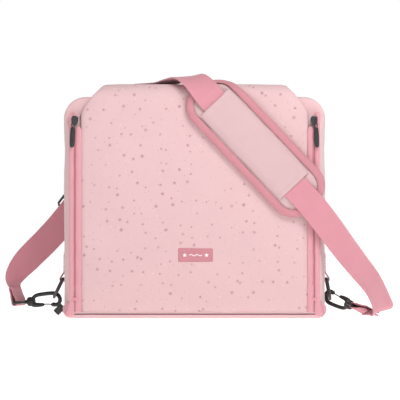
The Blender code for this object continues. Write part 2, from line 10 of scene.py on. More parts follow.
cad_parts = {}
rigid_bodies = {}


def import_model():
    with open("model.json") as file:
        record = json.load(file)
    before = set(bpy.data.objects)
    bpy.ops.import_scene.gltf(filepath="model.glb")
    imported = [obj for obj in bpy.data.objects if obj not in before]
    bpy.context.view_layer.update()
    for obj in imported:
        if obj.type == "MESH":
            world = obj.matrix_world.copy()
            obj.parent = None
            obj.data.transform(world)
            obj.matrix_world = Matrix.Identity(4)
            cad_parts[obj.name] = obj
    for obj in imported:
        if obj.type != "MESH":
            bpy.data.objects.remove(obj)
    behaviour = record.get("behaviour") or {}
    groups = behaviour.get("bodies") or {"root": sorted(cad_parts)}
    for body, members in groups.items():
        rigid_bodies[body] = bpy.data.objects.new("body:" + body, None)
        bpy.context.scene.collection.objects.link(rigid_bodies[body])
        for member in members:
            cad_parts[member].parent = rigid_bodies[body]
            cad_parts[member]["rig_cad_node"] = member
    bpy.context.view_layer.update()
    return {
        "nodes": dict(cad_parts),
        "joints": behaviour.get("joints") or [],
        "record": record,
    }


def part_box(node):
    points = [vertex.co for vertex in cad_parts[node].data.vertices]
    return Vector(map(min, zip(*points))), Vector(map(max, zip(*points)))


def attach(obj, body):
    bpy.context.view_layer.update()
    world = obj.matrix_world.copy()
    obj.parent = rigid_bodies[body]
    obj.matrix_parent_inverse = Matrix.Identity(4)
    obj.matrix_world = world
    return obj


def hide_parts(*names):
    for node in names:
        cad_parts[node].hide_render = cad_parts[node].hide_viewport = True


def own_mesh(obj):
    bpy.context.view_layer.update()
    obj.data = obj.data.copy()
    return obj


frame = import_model()
MM = 0.001


# Sizes, read from the frame

def cad(node):
    """The lowest and highest corner of a CAD node, in millimetres."""
    low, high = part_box(node)
    return low / MM, high / MM


JOINTS = {joint["name"]: joint for joint in frame["joints"]}
FLAP_LOW, FLAP_HIGH = cad("flap_outer")
SIDE_LOW, SIDE_HIGH = cad("right_side_panel")
BACK_LOW, BACK_HIGH = cad("back_panel")
BASE_LOW, BASE_HIGH = cad("base_panel")
TOP_HIGH = cad("top_panel")[1]
FRONT_Y = FLAP_LOW.y
FLAP_HALF = FLAP_HIGH.x
HINGE_Z = FLAP_LOW.z - 0.3
LIP_TOP = FLAP_HIGH.z
LIP_END_Y = FLAP_HIGH.y
LIP_BEND = 14.0
LIP_HALF = 119.0
FLAP_SHOULDER_Z = 262.0    # above this the flap narrows towards the lip
CLOTH = 1.2
BODY_TOP = TOP_HIGH.z
TOP_CORNER = BODY_TOP - SIDE_HIGH.z - 0.3
FOOT_CORNER = 12.0
HALF_WIDTH = 170.0
SIDE_FRONT_HALF = SIDE_LOW.x + CLOTH
SIDE_BACK_HALF = BACK_HIGH.x
SIDE_BULGE = 7.0
SIDE_FRONT_Y = SIDE_LOW.y
SIDE_BACK_Y = SIDE_HIGH.y
WEB_WIDTH = 35.0
WEB_THICK = 1.8
BAR_TO_STRAP = 17.5        # from a swivel eye's bar to where the strap's middle line starts

# Strap pad, in its own length and width
PAD_LENGTH = 212.0
PAD_WIDTH = 72.0
PAD_CORNER = 28.0
PAD_UPPER = 30.0           # from the pad's upper end to its sleeve
PAD_BACK = 2.3             # stand-off from the flap
PAD_THICK = 6.0
STRAP_RUN = Vector((0.688, -0.726))
SLEEVE_TOP = Vector((25.9, 277.1))
SLEEVE_LENGTH = 148.0
SLEEVE_HALF = 26.0
CUSHION_EDGE = 4.6         # how far the cushion stays inside the pad's outline

# Camera, in metres
VIEW_WIDTH = 0.5132
VIEW_CENTRE = (0.0071, 0.152)
LENS = 300
SENSOR = 36


# Building meshes

def piece(name, points, faces, look, body, replaces=(), uvs=None, flat=False):
    """A shown object from points in millimetres, riding on a CAD body."""
    mesh = bpy.data.meshes.new(name)
    mesh.from_pydata([Vector(p) * MM for p in points], [], faces)
    if uvs:
        layer = mesh.uv_layers.new(name="cloth")
        for loop in mesh.loops:
            layer.data[loop.index].uv = uvs[loop.vertex_index]
    if not flat:
        mesh.set_sharp_from_angle(angle=radians(55))
    mesh.materials.append(look)
    made = bpy.data.objects.new(name, mesh)
    bpy.context.scene.collection.objects.link(made)
    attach(made, body)
    if replaces:
        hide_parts(*replaces)
    return made


def solid(made, thick, side=-1, round_edges=1):
    """Gives a sheet its thickness, with soft edges."""
    shell = made.modifiers.new("thickness", "SOLIDIFY")
    shell.thickness = thick * MM
    shell.offset = side
    if round_edges:
        soft = made.modifiers.new("soft", "SUBSURF")
        soft.levels = round_edges
        soft.render_levels = round_edges
    return made


def grid(name, place, across, along, look, body, replaces=(), flip=False):
    """A sheet whose points are place(u, v), with u and v from 0 to 1. Its UVs are in metres."""
    rows = [[Vector(place(i / across, j / along)) for i in range(across + 1)] for j in range(along + 1)]
    middle = across // 2
    lengths = [0.0]
    for low, high in zip(rows, rows[1:]):
        lengths.append(lengths[-1] + (high[middle] - low[middle]).length)
    points, uvs, faces = [], [], []
    for row, length in zip(rows, lengths):
        at = -sum((b - a).length for a, b in zip(row[:middle], row[1:middle + 1]))
        for i, point in enumerate(row):
            if i:
                at += (point - row[i - 1]).length
            points.append(point)
            uvs.append((at * MM, length * MM))
    wide = across + 1
    for j in range(along):
        for i in range(across):
            a = j * wide + i
            face = (a, a + 1, a + wide + 1, a + wide)
            faces.append(face[::-1] if flip else face)
    return piece(name, points, faces, look, body, replaces, uvs)


def loft(name, rings, look, body, replaces=(), closed=False, flat=False):
    """A closed skin through rings of points, capped at its ends unless it is closed on itself."""
    count = len(rings[0])
    points = [Vector(p) for ring in rings for p in ring]
    centres = [sum((Vector(p) for p in ring), Vector()) / count for ring in rings]
    uvs, length = [], 0.0
    for n, ring in enumerate(rings):
        length += (centres[n] - centres[n - 1]).length if n else 0.0
        around = 0.0
        for i, point in enumerate(ring):
            around += (Vector(point) - Vector(ring[i - 1])).length if i else 0.0
            uvs.append((around * MM, length * MM))
    faces = []
    total = len(rings)
    for n in range(total if closed else total - 1):
        near, far = n * count, (n + 1) % total * count
        for i in range(count):
            j = (i + 1) % count
            faces.append((near + i, near + j, far + j, far + i))
    if not closed:
        faces.append(tuple(range(count - 1, -1, -1)))
        faces.append(tuple((total - 1) * count + i for i in range(count)))
    made = piece(name, points, faces, look, body, replaces, uvs, flat)
    face_out(made)
    return made


def face_out(made):
    """Turns a closed mesh's faces outwards."""
    mesh = made.data
    volume = 0.0
    for face in mesh.polygons:
        first, *rest = (mesh.vertices[i].co for i in face.vertices)
        volume += sum(first.dot(a.cross(b)) for a, b in zip(rest, rest[1:]))
    if volume < 0:
        mesh.flip_normals()


def frames_along(points, across=None, closed=False):
    """At each point of a line, the direction along it and two directions across it, without twist."""
    count = len(points)
    found = []
    for i, point in enumerate(points):
        after = points[(i + 1) % count] if closed or i + 1 < count else point
        before = points[i - 1] if closed or i else point
        run = (after - before).normalized()
        side = across if found == [] else found[-1][1]
        if side is None:
            side = run.orthogonal()
        side = (side - run * side.dot(run)).normalized()
        found.append((run, side, run.cross(side)))
    return found


def tube(name, points, radius, look, body, replaces=(), sides=12, closed=False):
    """A round tube through points. The radius is one number or a function of the share along it."""
    points = [Vector(p) for p in points]
    rings = []
    for i, (_, side, up) in enumerate(frames_along(points, closed=closed)):
        thick = radius(i / (len(points) - 1)) if callable(radius) else radius
        rings.append([points[i] + side * cos(a) * thick + up * sin(a) * thick
                      for a in (2 * pi * k / sides for k in range(sides))])
    if not closed:
        rings = rounded_ends(points, rings)
    return loft(name, rings, look, body, replaces, closed)


def rounded_ends(points, rings):
    """Adds a smaller ring past each end, so that a tube ends in a dome."""
    made = list(rings)
    for end, inner, first in ((0, 1, True), (-1, -2, False)):
        out = (points[end] - points[inner]).normalized()
        centre = points[end]
        size = (rings[end][0] - centre).length
        for share, reach in ((0.8, 0.55), (0.4, 0.9)):
            ring = [centre + (p - centre) * share + out * size * reach for p in rings[end]]
            if first:
                made.insert(0, ring)
            else:
                made.append(ring)
    return made


def arc(centre, radius, start, end, steps):
    """Points on an arc, with angles in degrees from the first axis."""
    angles = (radians(start + (end - start) * i / steps) for i in range(steps + 1))
    return [(centre[0] + radius * cos(a), centre[1] + radius * sin(a)) for a in angles]


def smooth_through(points, steps):
    """A smooth curve through given rows of numbers (Catmull-Rom), with steps between each pair."""
    rows = [Vector(row) for row in points]
    rows = [rows[0] * 2 - rows[1], *rows, rows[-1] * 2 - rows[-2]]
    found = []
    for a, b, c, d in zip(rows, rows[1:], rows[2:], rows[3:]):
        for i in range(steps):
            t = i / steps
            found.append(0.5 * (2 * b + (c - a) * t + (2 * a - 5 * b + 4 * c - d) * t**2
                                + (3 * b - a - 3 * c + d) * t**3))
    return [*found, rows[-2]]


def every(points, step):
    """Points a step apart along a line."""
    points = [Vector(p) for p in points]
    found, left = [points[0]], step
    for a, b in zip(points, points[1:]):
        length = (b - a).length
        while left <= length:
            found.append(a.lerp(b, left / length))
            left += step
        left -= length
    return found


def stitches(name, line, body, look=None, length=2.4, gap=1.5, radius=0.36):
    """A row of sewn stitches lying along a line, each a small closed lozenge."""
    stops = every(line, length + gap)
    points, faces = [], []
    for start, after in zip(stops, stops[1:]):
        run = (after - start).normalized()
        side = run.orthogonal().normalized()
        up = run.cross(side)
        first = len(points)
        points.append(start)
        for share in (0.25, 0.75):
            middle = start + run * length * share
            for k in range(6):
                angle = pi * k / 3
                points.append(middle + (side * cos(angle) + up * sin(angle)) * radius)
        points.append(start + run * length)
        for k in range(6):
            j = (k + 1) % 6
            faces.append((first, first + 1 + j, first + 1 + k))
            faces.append((first + 1 + k, first + 1 + j, first + 7 + j, first + 7 + k))
            faces.append((first + 7 + k, first + 7 + j, first + 13))
    return piece(name, points, faces, look or THREAD, body)


def rumple(x, z, size, seed=0.0):
    """A soft uneven swell, about -1 to 1."""
    return noise.noise(Vector((x / size, z / size, seed)))


# Materials

def srgb(red, green, blue):
    """A colour from its screen values, as the shader wants it."""
    return (*((c / 255 / 12.92 if c <= 10 else ((c / 255 + 0.055) / 1.055) ** 2.4)
              for c in (red, green, blue)), 1.0)


class Look:
    """A procedural material: a Principled shader and short ways of adding texture nodes to it."""

    def __init__(self, name, roughness, sheen=0.0, specular=0.3, metallic=0.0, coat=0.0):
        self.material = bpy.data.materials.new(name)
        self.material.use_nodes = True
        self.tree = self.material.node_tree
        self.shader = self.tree.nodes["Principled BSDF"]
        self.set(self.shader, Roughness=roughness, Metallic=metallic)
        self.shader.inputs["Sheen Weight"].default_value = sheen
        self.shader.inputs["Sheen Roughness"].default_value = 0.5
        self.shader.inputs["Specular IOR Level"].default_value = specular
        self.shader.inputs["Coat Weight"].default_value = coat
        self.shader.inputs["Coat Roughness"].default_value = 0.15
        self.where = self.add("ShaderNodeTexCoord").outputs["Object"]

    def fill(self, socket, value):
        """Links a socket to another, or gives it a value."""
        if isinstance(value, bpy.types.NodeSocket):
            self.tree.links.new(value, socket)
        else:
            socket.default_value = value

    def set(self, node, **values):
        for key, value in values.items():
            self.fill(node.inputs[key.replace("_", " ")], value)

    def add(self, kind, **values):
        node = self.tree.nodes.new(kind)
        self.set(node, **values)
        return node

    def cloth_map(self):
        """Makes the textures follow the cloth's own length and width."""
        node = self.tree.nodes.new("ShaderNodeUVMap")
        node.uv_map = "cloth"
        self.where = node.outputs[0]
        return self

    def math(self, operation, a, b=0.0, c=0.0, clamp=False):
        node = self.tree.nodes.new("ShaderNodeMath")
        node.operation = operation
        node.use_clamp = clamp
        for socket, value in zip(node.inputs, (a, b, c)):
            self.fill(socket, value)
        return node.outputs[0]

    def noise(self, scale, detail=2.0, rough=0.5, stretch=(1, 1, 1)):
        where = self.add("ShaderNodeMapping", Vector=self.where, Scale=stretch).outputs[0]
        return self.add("ShaderNodeTexNoise", Vector=where, Scale=scale, Detail=detail,
                        Roughness=rough).outputs["Fac"]

    def waves(self, spacing, axis, distort=0.0):
        """Ridges a spacing apart (in metres), across one axis."""
        node = self.add("ShaderNodeTexWave", Vector=self.where, Scale=pi / 10 / spacing,
                        Distortion=distort)
        node.bands_direction = axis
        return node.outputs["Fac"]

    def mix(self, share, first, second):
        node = self.tree.nodes.new("ShaderNodeMix")
        node.data_type = "RGBA"
        for socket, value in ((node.inputs[0], share), (node.inputs[6], first), (node.inputs[7], second)):
            self.fill(socket, value)
        return node.outputs[2]

    def between(self, share, low, high):
        """A share from 0 to 1 spread from low to high."""
        return self.math("MULTIPLY_ADD", share, high - low, low)

    def colour(self, value):
        self.set(self.shader, Base_Color=value)

    def rough(self, value):
        self.set(self.shader, Roughness=value)

    def bump(self, height, depth, strength=1.0):
        """Adds relief of a depth in metres on top of what is there."""
        node = self.add("ShaderNodeBump", Height=height, Distance=depth, Strength=strength)
        before = self.shader.inputs["Normal"].links
        if before:
            self.tree.links.new(before[0].from_socket, node.inputs["Normal"])
        self.set(self.shader, Normal=node.outputs[0])


def shaded(colour, share):
    """A colour made darker or lighter."""
    return (colour[0] * share, colour[1] * share, colour[2] * share, 1.0)


def woven(name, colour, use_map=True, thread=0.0007, sheen=0.25, tone=0.9):
    """Plain woven cloth: crossing threads, faint slubs, and a soft uneven tone."""
    look = Look(name, 0.85, sheen=sheen, specular=0.2)
    if use_map:
        look.cloth_map()
    warp = look.waves(thread, "X", 0.3)
    weft = look.waves(thread, "Y" if use_map else "Z", 0.3)
    threads = look.math("MULTIPLY", warp, weft)
    slub = look.noise(1400, 3, 0.6, (1, 0.15, 1))
    patches = look.noise(18, 3, 0.6)
    tone_share = look.math("MULTIPLY_ADD", patches, 0.7, look.math("MULTIPLY", slub, 0.3))
    base = look.mix(tone_share, shaded(colour, tone), shaded(colour, 1.05))
    base = look.mix(look.math("MULTIPLY", threads, 0.22), base, shaded(colour, 0.82))
    look.rough(look.between(slub, 0.74, 0.95))
    look.bump(threads, 0.00012, 0.7)
    look.bump(patches, 0.0016, 0.35)
    return look, base


def stars(look, base, cell, small, large, colour, strength, shift):
    """Scatters five-pointed stars over a colour: one in each cell, turned and sized at random."""
    half_point = pi / 5
    moved = look.add("ShaderNodeMapping", Vector=look.where, Location=(shift, shift * 0.37, 0)).outputs[0]
    cells = look.add("ShaderNodeTexVoronoi", Vector=moved, Scale=1 / cell, Randomness=0.85)
    cells.voronoi_dimensions = "2D"
    local = look.tree.nodes.new("ShaderNodeVectorMath")
    local.operation = "SUBTRACT"
    look.tree.links.new(moved, local.inputs[0])
    look.tree.links.new(cells.outputs["Position"], local.inputs[1])
    chance = look.add("ShaderNodeSeparateXYZ", Vector=cells.outputs["Color"]).outputs
    place = look.add("ShaderNodeSeparateXYZ", Vector=local.outputs[0]).outputs
    angle = look.math("ARCTAN2", place[1], place[0])
    angle = look.math("MULTIPLY_ADD", chance[0], 2 * pi, angle)
    angle = look.math("FLOORED_MODULO", angle, 2 * half_point)
    angle = look.math("ABSOLUTE", look.math("SUBTRACT", angle, half_point))
    inner = 0.46
    reach = look.math("MULTIPLY", look.math("SINE", angle), inner)
    reach = look.math("ADD", reach, look.math("SINE", look.math("SUBTRACT", half_point, angle)))
    size = look.between(chance[1], small, large)
    edge = look.math("DIVIDE", look.math("MULTIPLY", size, inner * sin(half_point)), reach)
    length = look.math("SQRT", look.math("ADD", look.math("POWER", place[0], 2.0),
                                         look.math("POWER", place[1], 2.0)))
    inside = look.math("DIVIDE", look.math("SUBTRACT", edge, length), 0.00025, clamp=True)
    shown = look.math("MULTIPLY", look.math("GREATER_THAN", chance[2], 0.22),
                      look.between(chance[2], 0.45, 1.0))
    return look.mix(look.math("MULTIPLY", look.math("MULTIPLY", inside, shown), strength), base, colour)


PALE = srgb(219, 184, 186)
ROSE = srgb(209, 141, 152)
STAR = srgb(165, 118, 126)


def star_fabric():
    """The pale cloth with its print: large and small dark stars, and faint light ones."""
    look, base = woven("star_fabric", PALE)
    base = stars(look, base, 0.0160, 0.0017, 0.0034, STAR, 0.72, 0.31)
    base = stars(look, base, 0.0105, 0.0007, 0.0014, STAR, 0.5, 1.73)
    base = stars(look, base, 0.0150, 0.0008, 0.0018, srgb(250, 226, 226), 0.3, 3.1)
    look.colour(base)
    return look.material


def plain_fabric(name="plain_fabric", colour=PALE, use_map=True):
    """Woven cloth without a print."""
    look, base = woven(name, colour, use_map)
    look.colour(base)
    return look.material


def webbing(name="webbing", colour=ROSE, rib=0.0011):
    """Ribbed strap: ribs along its length, fine picks across, and a slight shine."""
    look = Look(name, 0.7, sheen=0.35, specular=0.3)
    look.cloth_map()
    ribs = look.waves(rib, "X", 0.4)
    picks = look.waves(0.0008, "Y", 0.6)
    both = look.math("MULTIPLY", ribs, picks)
    patches = look.noise(25, 3, 0.6)
    fuzz = look.noise(900, 2, 0.6)
    base = look.mix(patches, shaded(colour, 0.9), shaded(colour, 1.06))
    base = look.mix(look.math("MULTIPLY", both, 0.2), base, shaded(colour, 0.76))
    look.colour(look.mix(look.math("MULTIPLY", fuzz, 0.2), base, shaded(colour, 1.15)))
    look.rough(look.between(fuzz, 0.6, 0.85))
    look.bump(both, 0.00018, 0.8)
    look.bump(patches, 0.0008, 0.3)
    return look.material


def thread(name, colour):
    """Twisted thread or a thin sewn roll."""
    look = Look(name, 0.6, sheen=0.3)
    strands = look.noise(1500, 2)
    look.colour(look.mix(strands, shaded(colour, 0.8), shaded(colour, 1.1)))
    look.bump(strands, 0.0001, 0.5)
    return look.material


def black_plastic():
    """Moulded plastic: fine grain, faint scuffs and a low gloss."""
    look = Look("black_plastic", 0.4, specular=0.5)
    grain = look.noise(900, 2, 0.6)
    scuffs = look.noise(60, 5, 0.7, (1, 0.3, 1))
    look.colour(look.mix(scuffs, srgb(24, 25, 25), srgb(47, 49, 48)))
    look.rough(look.between(scuffs, 0.28, 0.5))
    look.bump(grain, 0.00005, 0.5)
    return look.material


def black_metal():
    """Metal under black enamel, glossier on its worn places."""
    look = Look("black_metal", 0.3, specular=0.6, coat=0.35)
    wear = look.noise(120, 4, 0.7)
    look.colour(look.mix(wear, srgb(20, 20, 21), srgb(56, 55, 56)))
    look.rough(look.between(wear, 0.2, 0.42))
    look.bump(look.noise(500, 2), 0.00004, 0.5)
    return look.material


def coil_plastic(name="zip_coil"):
    """Smooth rose plastic, for the zips' coils and stops."""
    look = Look(name, 0.4, specular=0.45)
    tone = look.noise(300, 2)
    colour = srgb(216, 146, 156)
    look.colour(look.mix(tone, shaded(colour, 0.85), shaded(colour, 1.08)))
    look.rough(look.between(tone, 0.32, 0.5))
    return look.material


def foam():
    """Open-cell foam: close small pores."""
    look = Look("foam", 0.95)
    cells = look.add("ShaderNodeTexVoronoi", Vector=look.where, Scale=900.0).outputs["Distance"]
    look.colour(look.mix(cells, srgb(235, 233, 228), srgb(205, 202, 196)))
    look.bump(cells, 0.0003, 0.7)
    return look.material


def board():
    """Stiff grey board with a fine grain."""
    look = Look("board", 0.7)
    grain = look.noise(400, 4, 0.7)
    look.colour(look.mix(grain, srgb(110, 108, 106), srgb(140, 138, 134)))
    look.rough(look.between(grain, 0.6, 0.8))
    look.bump(grain, 0.0001, 0.4)
    return look.material


def loop_pile():
    """Hook-and-loop strip: a dense short pile."""
    look = Look("loop_pile", 0.95, sheen=0.4)
    pile = look.noise(1600, 3, 0.7)
    look.colour(look.mix(pile, srgb(214, 178, 181), srgb(238, 210, 212)))
    look.bump(pile, 0.0006, 0.9)
    return look.material


STAR_FABRIC = star_fabric()
PLAIN_FABRIC = plain_fabric()
SIDE_FABRIC = plain_fabric("side_fabric", srgb(228, 189, 191))
PAD_FABRIC = plain_fabric("pad_fabric", srgb(210, 177, 179), use_map=False)
SLEEVE_FABRIC = plain_fabric("sleeve_fabric", srgb(209, 176, 178))
LINING = plain_fabric("lining_cloth", srgb(243, 228, 227))
WEBBING = webbing()
BINDING = webbing("binding", srgb(200, 134, 143), 0.0009)
BAND = webbing("zip_band", srgb(218, 156, 165), 0.0009)
THREAD = thread("thread_rose", srgb(212, 140, 152))
# Darker rose for the roll under the flap: painted shade for the shadowed gap beneath the flap's bottom edge.
SEAM_SHADE = thread("seam", srgb(160, 112, 119))
PALE_ROLL = thread("pale_roll", srgb(216, 178, 181))
THREAD_PALE = thread("thread_pale", srgb(226, 186, 190))
THREAD_WHITE = thread("thread_white", srgb(250, 236, 236))
BLACK_PLASTIC = black_plastic()
BLACK_METAL = black_metal()
COIL = coil_plastic()
STOP_METAL = coil_plastic("stop_metal")
FOAM = foam()
BOARD = board()
PILE = loop_pile()


# Camera, light and floor

def stage_set():
    """A straight-on camera a long way off, a pale floor, and soft light from above and the right."""
    camera = bpy.data.objects.new("camera", bpy.data.cameras.new("camera"))
    bpy.context.scene.collection.objects.link(camera)
    bpy.context.scene.camera = camera
    camera.data.lens = LENS
    camera.data.sensor_width = SENSOR
    distance = VIEW_WIDTH * LENS / SENSOR
    camera.location = (VIEW_CENTRE[0], FRONT_Y * MM - distance, VIEW_CENTRE[1])
    camera.rotation_euler = (radians(90), 0, 0)
    camera.data.clip_end = 100
    bpy.ops.mesh.primitive_plane_add(size=60, location=(0, 0, -0.0002))
    floor = bpy.context.object
    floor.name = "floor"
    paper = Look("paper", 0.9)
    grain = paper.noise(30, 3)
    paper.colour(paper.mix(grain, (0.9, 0.9, 0.9, 1), (0.94, 0.94, 0.94, 1)))
    paper.set(paper.shader, Emission_Color=(1, 1, 1, 1), Emission_Strength=0.72)
    floor.data.materials.append(paper.material)
    for name, place, size, power in (("key", (0.35, -0.8, 1.0), 0.5, 8.5),
                                     ("front_fill", (-0.6, -2.2, 0.9), 1.6, 3),
                                     ("back_light", (0.2, 1.6, 1.4), 1.6, 6)):
        lamp = bpy.data.lights.new(name, "AREA")
        lamp.size = size
        lamp.energy = power
        thing = bpy.data.objects.new(name, lamp)
        thing.location = place
        aim = Vector((0, 0, 0.13)) - Vector(place)
        thing.rotation_euler = aim.to_track_quat("-Z", "Y").to_euler()
        bpy.context.scene.collection.objects.link(thing)
    bpy.context.scene.world = white_world()
    bpy.context.scene.view_settings.view_transform = "Standard"


def white_world():
    """A plain white surround that is bright behind the bag and softer as a light."""
    world = bpy.data.worlds.new("world")
    world.use_nodes = True
    background = world.node_tree.nodes["Background"]
    background.inputs["Color"].default_value = (1, 1, 1, 1)
    seen = world.node_tree.nodes.new("ShaderNodeLightPath").outputs["Is Camera Ray"]
    strength = world.node_tree.nodes.new("ShaderNodeMapRange")
    strength.inputs["To Min"].default_value = 0.34
    world.node_tree.links.new(seen, strength.inputs["Value"])
    world.node_tree.links.new(strength.outputs[0], background.inputs["Strength"])
    return world


# Flap

def flap_half(z):
    """Half the flap's width: straight, then drawn in over the shoulder to the lip."""
    share = min(max((z - FLAP_SHOULDER_Z) / (LIP_TOP - FLAP_SHOULDER_Z), 0), 1)
    return FLAP_HALF - (FLAP_HALF - LIP_HALF) * share**1.3


def flap_section(share, drop=0.0):
    """A point of the flap's outside in y and z, and the way out of it, sunk by drop."""
    corner = LIP_TOP - LIP_BEND
    straight = corner - HINGE_Z - 0.3
    bend = LIP_BEND * pi / 2
    lip = LIP_END_Y - FRONT_Y - LIP_BEND
    at = share * (straight + bend + lip)
    if at <= straight:
        return Vector((0, FRONT_Y + drop, HINGE_Z + 0.3 + at)), Vector((0, -1, 0))
    if at <= straight + bend:
        angle = (at - straight) / LIP_BEND
        out = Vector((0, -cos(angle), sin(angle)))
        return Vector((0, FRONT_Y + LIP_BEND, corner)) + out * (LIP_BEND - drop), out
    return Vector((0, FRONT_Y + LIP_BEND + at - straight - bend, LIP_TOP - drop)), Vector((0, 0, 1))


def flap_cloth():
    """The padded front panel and lip: softly swollen, pulled in at its seams, with rounded sides."""
    across, along = 64, 110
    wall = ((0.6, 1.6), (1.0, 4.0), (1.8, 6.6))

    def place(u, v):
        column = round(u * (across + 2 * len(wall)))
        index = min(max(column - len(wall), 0), across)
        spread = 2 * index / across - 1
        point, out = flap_section(v)
        half = flap_half(point.z)
        x = spread * half
        rim = max(0.0, abs(x) - (half - 6)) / 6
        foot = exp(-(point.z - HINGE_Z) / 5)
        swell = 1.2 * (1 - spread**6) * (1 - foot) - 1.5 * rim**2 - 0.8 * foot
        creases = 0.55 * rumple(x, point.z + point.y, 55) + 0.25 * rumple(x, point.z + point.y, 21, 4)
        creases += 0.8 * foot * rumple(x, 0, 26, 9) + 0.5 * rumple(x * 0.5, point.z, 34, 2) * rim
        point = point + out * (swell + creases * (1 - 0.6 * rim))
        point.x = x
        beyond = len(wall) - column if column < len(wall) else column - across - len(wall)
        if beyond > 0:
            narrow, deep = wall[beyond - 1]
            point.x = x - narrow * (1 if x > 0 else -1)
            point -= out * deep
        return point

    made = grid("flap_cloth", place, across + 2 * len(wall), along, STAR_FABRIC, "flap",
                ("flap_outer",))
    return solid(made, 1.0)


def lip_hem():
    """The rolled edge along the back of the lip."""
    z = LIP_TOP - 4.2
    rings = []
    for i in range(49):
        x = (i / 24 - 1) * (LIP_HALF - 0.5)
        lift = 0.4 * rumple(x, 0, 30, 7)
        rings.append([(x, LIP_END_Y - 1 + 1.9 * cos(a), z + lift + 4.4 * sin(a))
                      for a in (2 * pi * k / 14 for k in range(14))])
    loft("lip_hem", rings, STAR_FABRIC, "flap")


def flap_inside():
    """The flap's lining, quilted in wide channels, and its bound edge."""
    low, high = cad("flap_lining")
    inner_y = low.y + 1
    under_z = high.z - 1
    turn = 4.0

    def place(u, v):
        straight = under_z - turn - low.z
        bend = turn * pi / 2
        lip = high.y - inner_y - turn
        at = v * (straight + bend + lip)
        if at <= straight:
            point, out = Vector((0, inner_y, low.z + at)), Vector((0, 1, 0))
        elif at <= straight + bend:
            angle = (at - straight) / turn
            out = Vector((0, cos(angle), -sin(angle)))
            point = Vector((0, inner_y + turn, under_z - turn)) - out * turn
        else:
            point, out = Vector((0, inner_y + turn + at - straight - bend, under_z)), Vector((0, 0, -1))
        half = flap_half(min(point.z + 8, LIP_TOP)) - 1.6
        x = (2 * u - 1) * half
        channel = abs(sin(pi * x / 48)) ** 0.5
        point = point - out * (0.75 * (1 - channel) + 0.2 * rumple(x, point.z, 30, 3))
        point.x = x
        return point

    made = grid("flap_lining_cloth", place, 72, 90, LINING, "flap", ("flap_lining",))
    solid(made, 0.8, side=1, round_edges=0)


def label():
    """A small sewn label with a plain stitched bar between two stars."""
    low, high = cad("label_patch")
    middle = (low + high) / 2
    half_x, half_z = (high.x - low.x) / 2, (high.z - low.z) / 2
    rings = []
    for depth, grow in ((1.2, -0.4), (0.5, 0.1), (-0.3, 0.0), (-0.9, -0.5), (-1.05, -1.6), (-0.8, -2.4),
                        (-1.0, -3.2)):
        rings.append([(middle.x + x, FRONT_Y - 0.9 + depth, middle.z + z)
                      for x, z in rounded(half_x + grow, half_z + grow, 1.6)])
    made = loft("label_cloth", rings, BINDING, "flap", ("label_patch",))
    made.data.shade_smooth()
    front = FRONT_Y - 2.05
    edge = [Vector((middle.x + x, front + 0.15, middle.z + z))
            for x, z in rounded(half_x - 2.2, half_z - 2.2, 1.2)]
    stitches("label_stitching", [*edge, edge[0]], "flap", look=THREAD, length=1.5, gap=0.8, radius=0.22)
    for name, x in (("label_star_left", -14.0), ("label_star_right", 14.0)):
        star_badge(name, Vector((middle.x + x, front, middle.z)), 3.0)
    bar = [Vector((middle.x - 8 + i, front, middle.z + 0.9 * sin(i * 0.8))) for i in range(17)]
    tube("label_bar", bar, 0.55, THREAD_WHITE, "flap", sides=8)


def rounded(half_x, half_z, radius):
    """A rounded rectangle about the origin."""
    return (arc((half_x - radius, half_z - radius), radius, 0, 90, 4)
            + arc((radius - half_x, half_z - radius), radius, 90, 180, 4)
            + arc((radius - half_x, radius - half_z), radius, 180, 270, 4)
            + arc((half_x - radius, radius - half_z), radius, 270, 360, 4))


def star_badge(name, centre, size):
    """A small raised five-pointed star, facing the front."""
    def outline(scale):
        return [centre + Vector((sin(pi * k / 5), 0, cos(pi * k / 5))) * scale * (1 if k % 2 == 0 else 0.46)
                for k in range(10)]

    out = Vector((0, -1, 0))
    rings = [[p - out * 0.3 for p in outline(size)], [p + out * 0.3 for p in outline(size)],
             [p + out * 0.5 for p in outline(size * 0.75)]]
    loft(name, rings, THREAD_WHITE, "flap", flat=True)


# Body cloth

def depth_share(y):
    """How far back a depth is, from 0 at the front of the side to 1 at its back."""
    return (y - SIDE_FRONT_Y) / (SIDE_BACK_Y - SIDE_FRONT_Y)


def side_half(y):
    """How far the side stands from the centre plane at a depth."""
    t = min(max(depth_share(y), 0), 1)
    return SIDE_FRONT_HALF + (SIDE_BACK_HALF - SIDE_FRONT_HALF) * t + SIDE_BULGE * 4 * t * (1 - t)


def around_body(at):
    """A point on the body's outline, the way out of it, and how much it counts as the top corners."""
    bend = TOP_CORNER * pi / 2
    rise = BODY_TOP - TOP_CORNER - HINGE_Z
    flat = 2 * (HALF_WIDTH - TOP_CORNER)
    centre_z = BODY_TOP - TOP_CORNER
    mirrored = at > rise + bend + flat / 2
    if mirrored:
        at = 2 * (rise + bend) + flat - at
    if at <= rise:
        point, out = Vector((-HALF_WIDTH, 0, HINGE_Z + at)), Vector((-1, 0, 0))
        ear = min(max((at - rise + 16) / 16, 0), 1)
    elif at <= rise + bend:
        angle = pi - (at - rise) / TOP_CORNER
        out = Vector((cos(angle), 0, sin(angle)))
        point = Vector((TOP_CORNER - HALF_WIDTH, 0, centre_z)) + out * TOP_CORNER
        ear = 1
    else:
        point, out = Vector((TOP_CORNER - HALF_WIDTH + at - rise - bend, 0, BODY_TOP)), Vector((0, 0, 1))
        ear = 1
    if mirrored:
        point.x, out.x = -point.x, -out.x
    return point, out, ear * ear * (3 - 2 * ear)


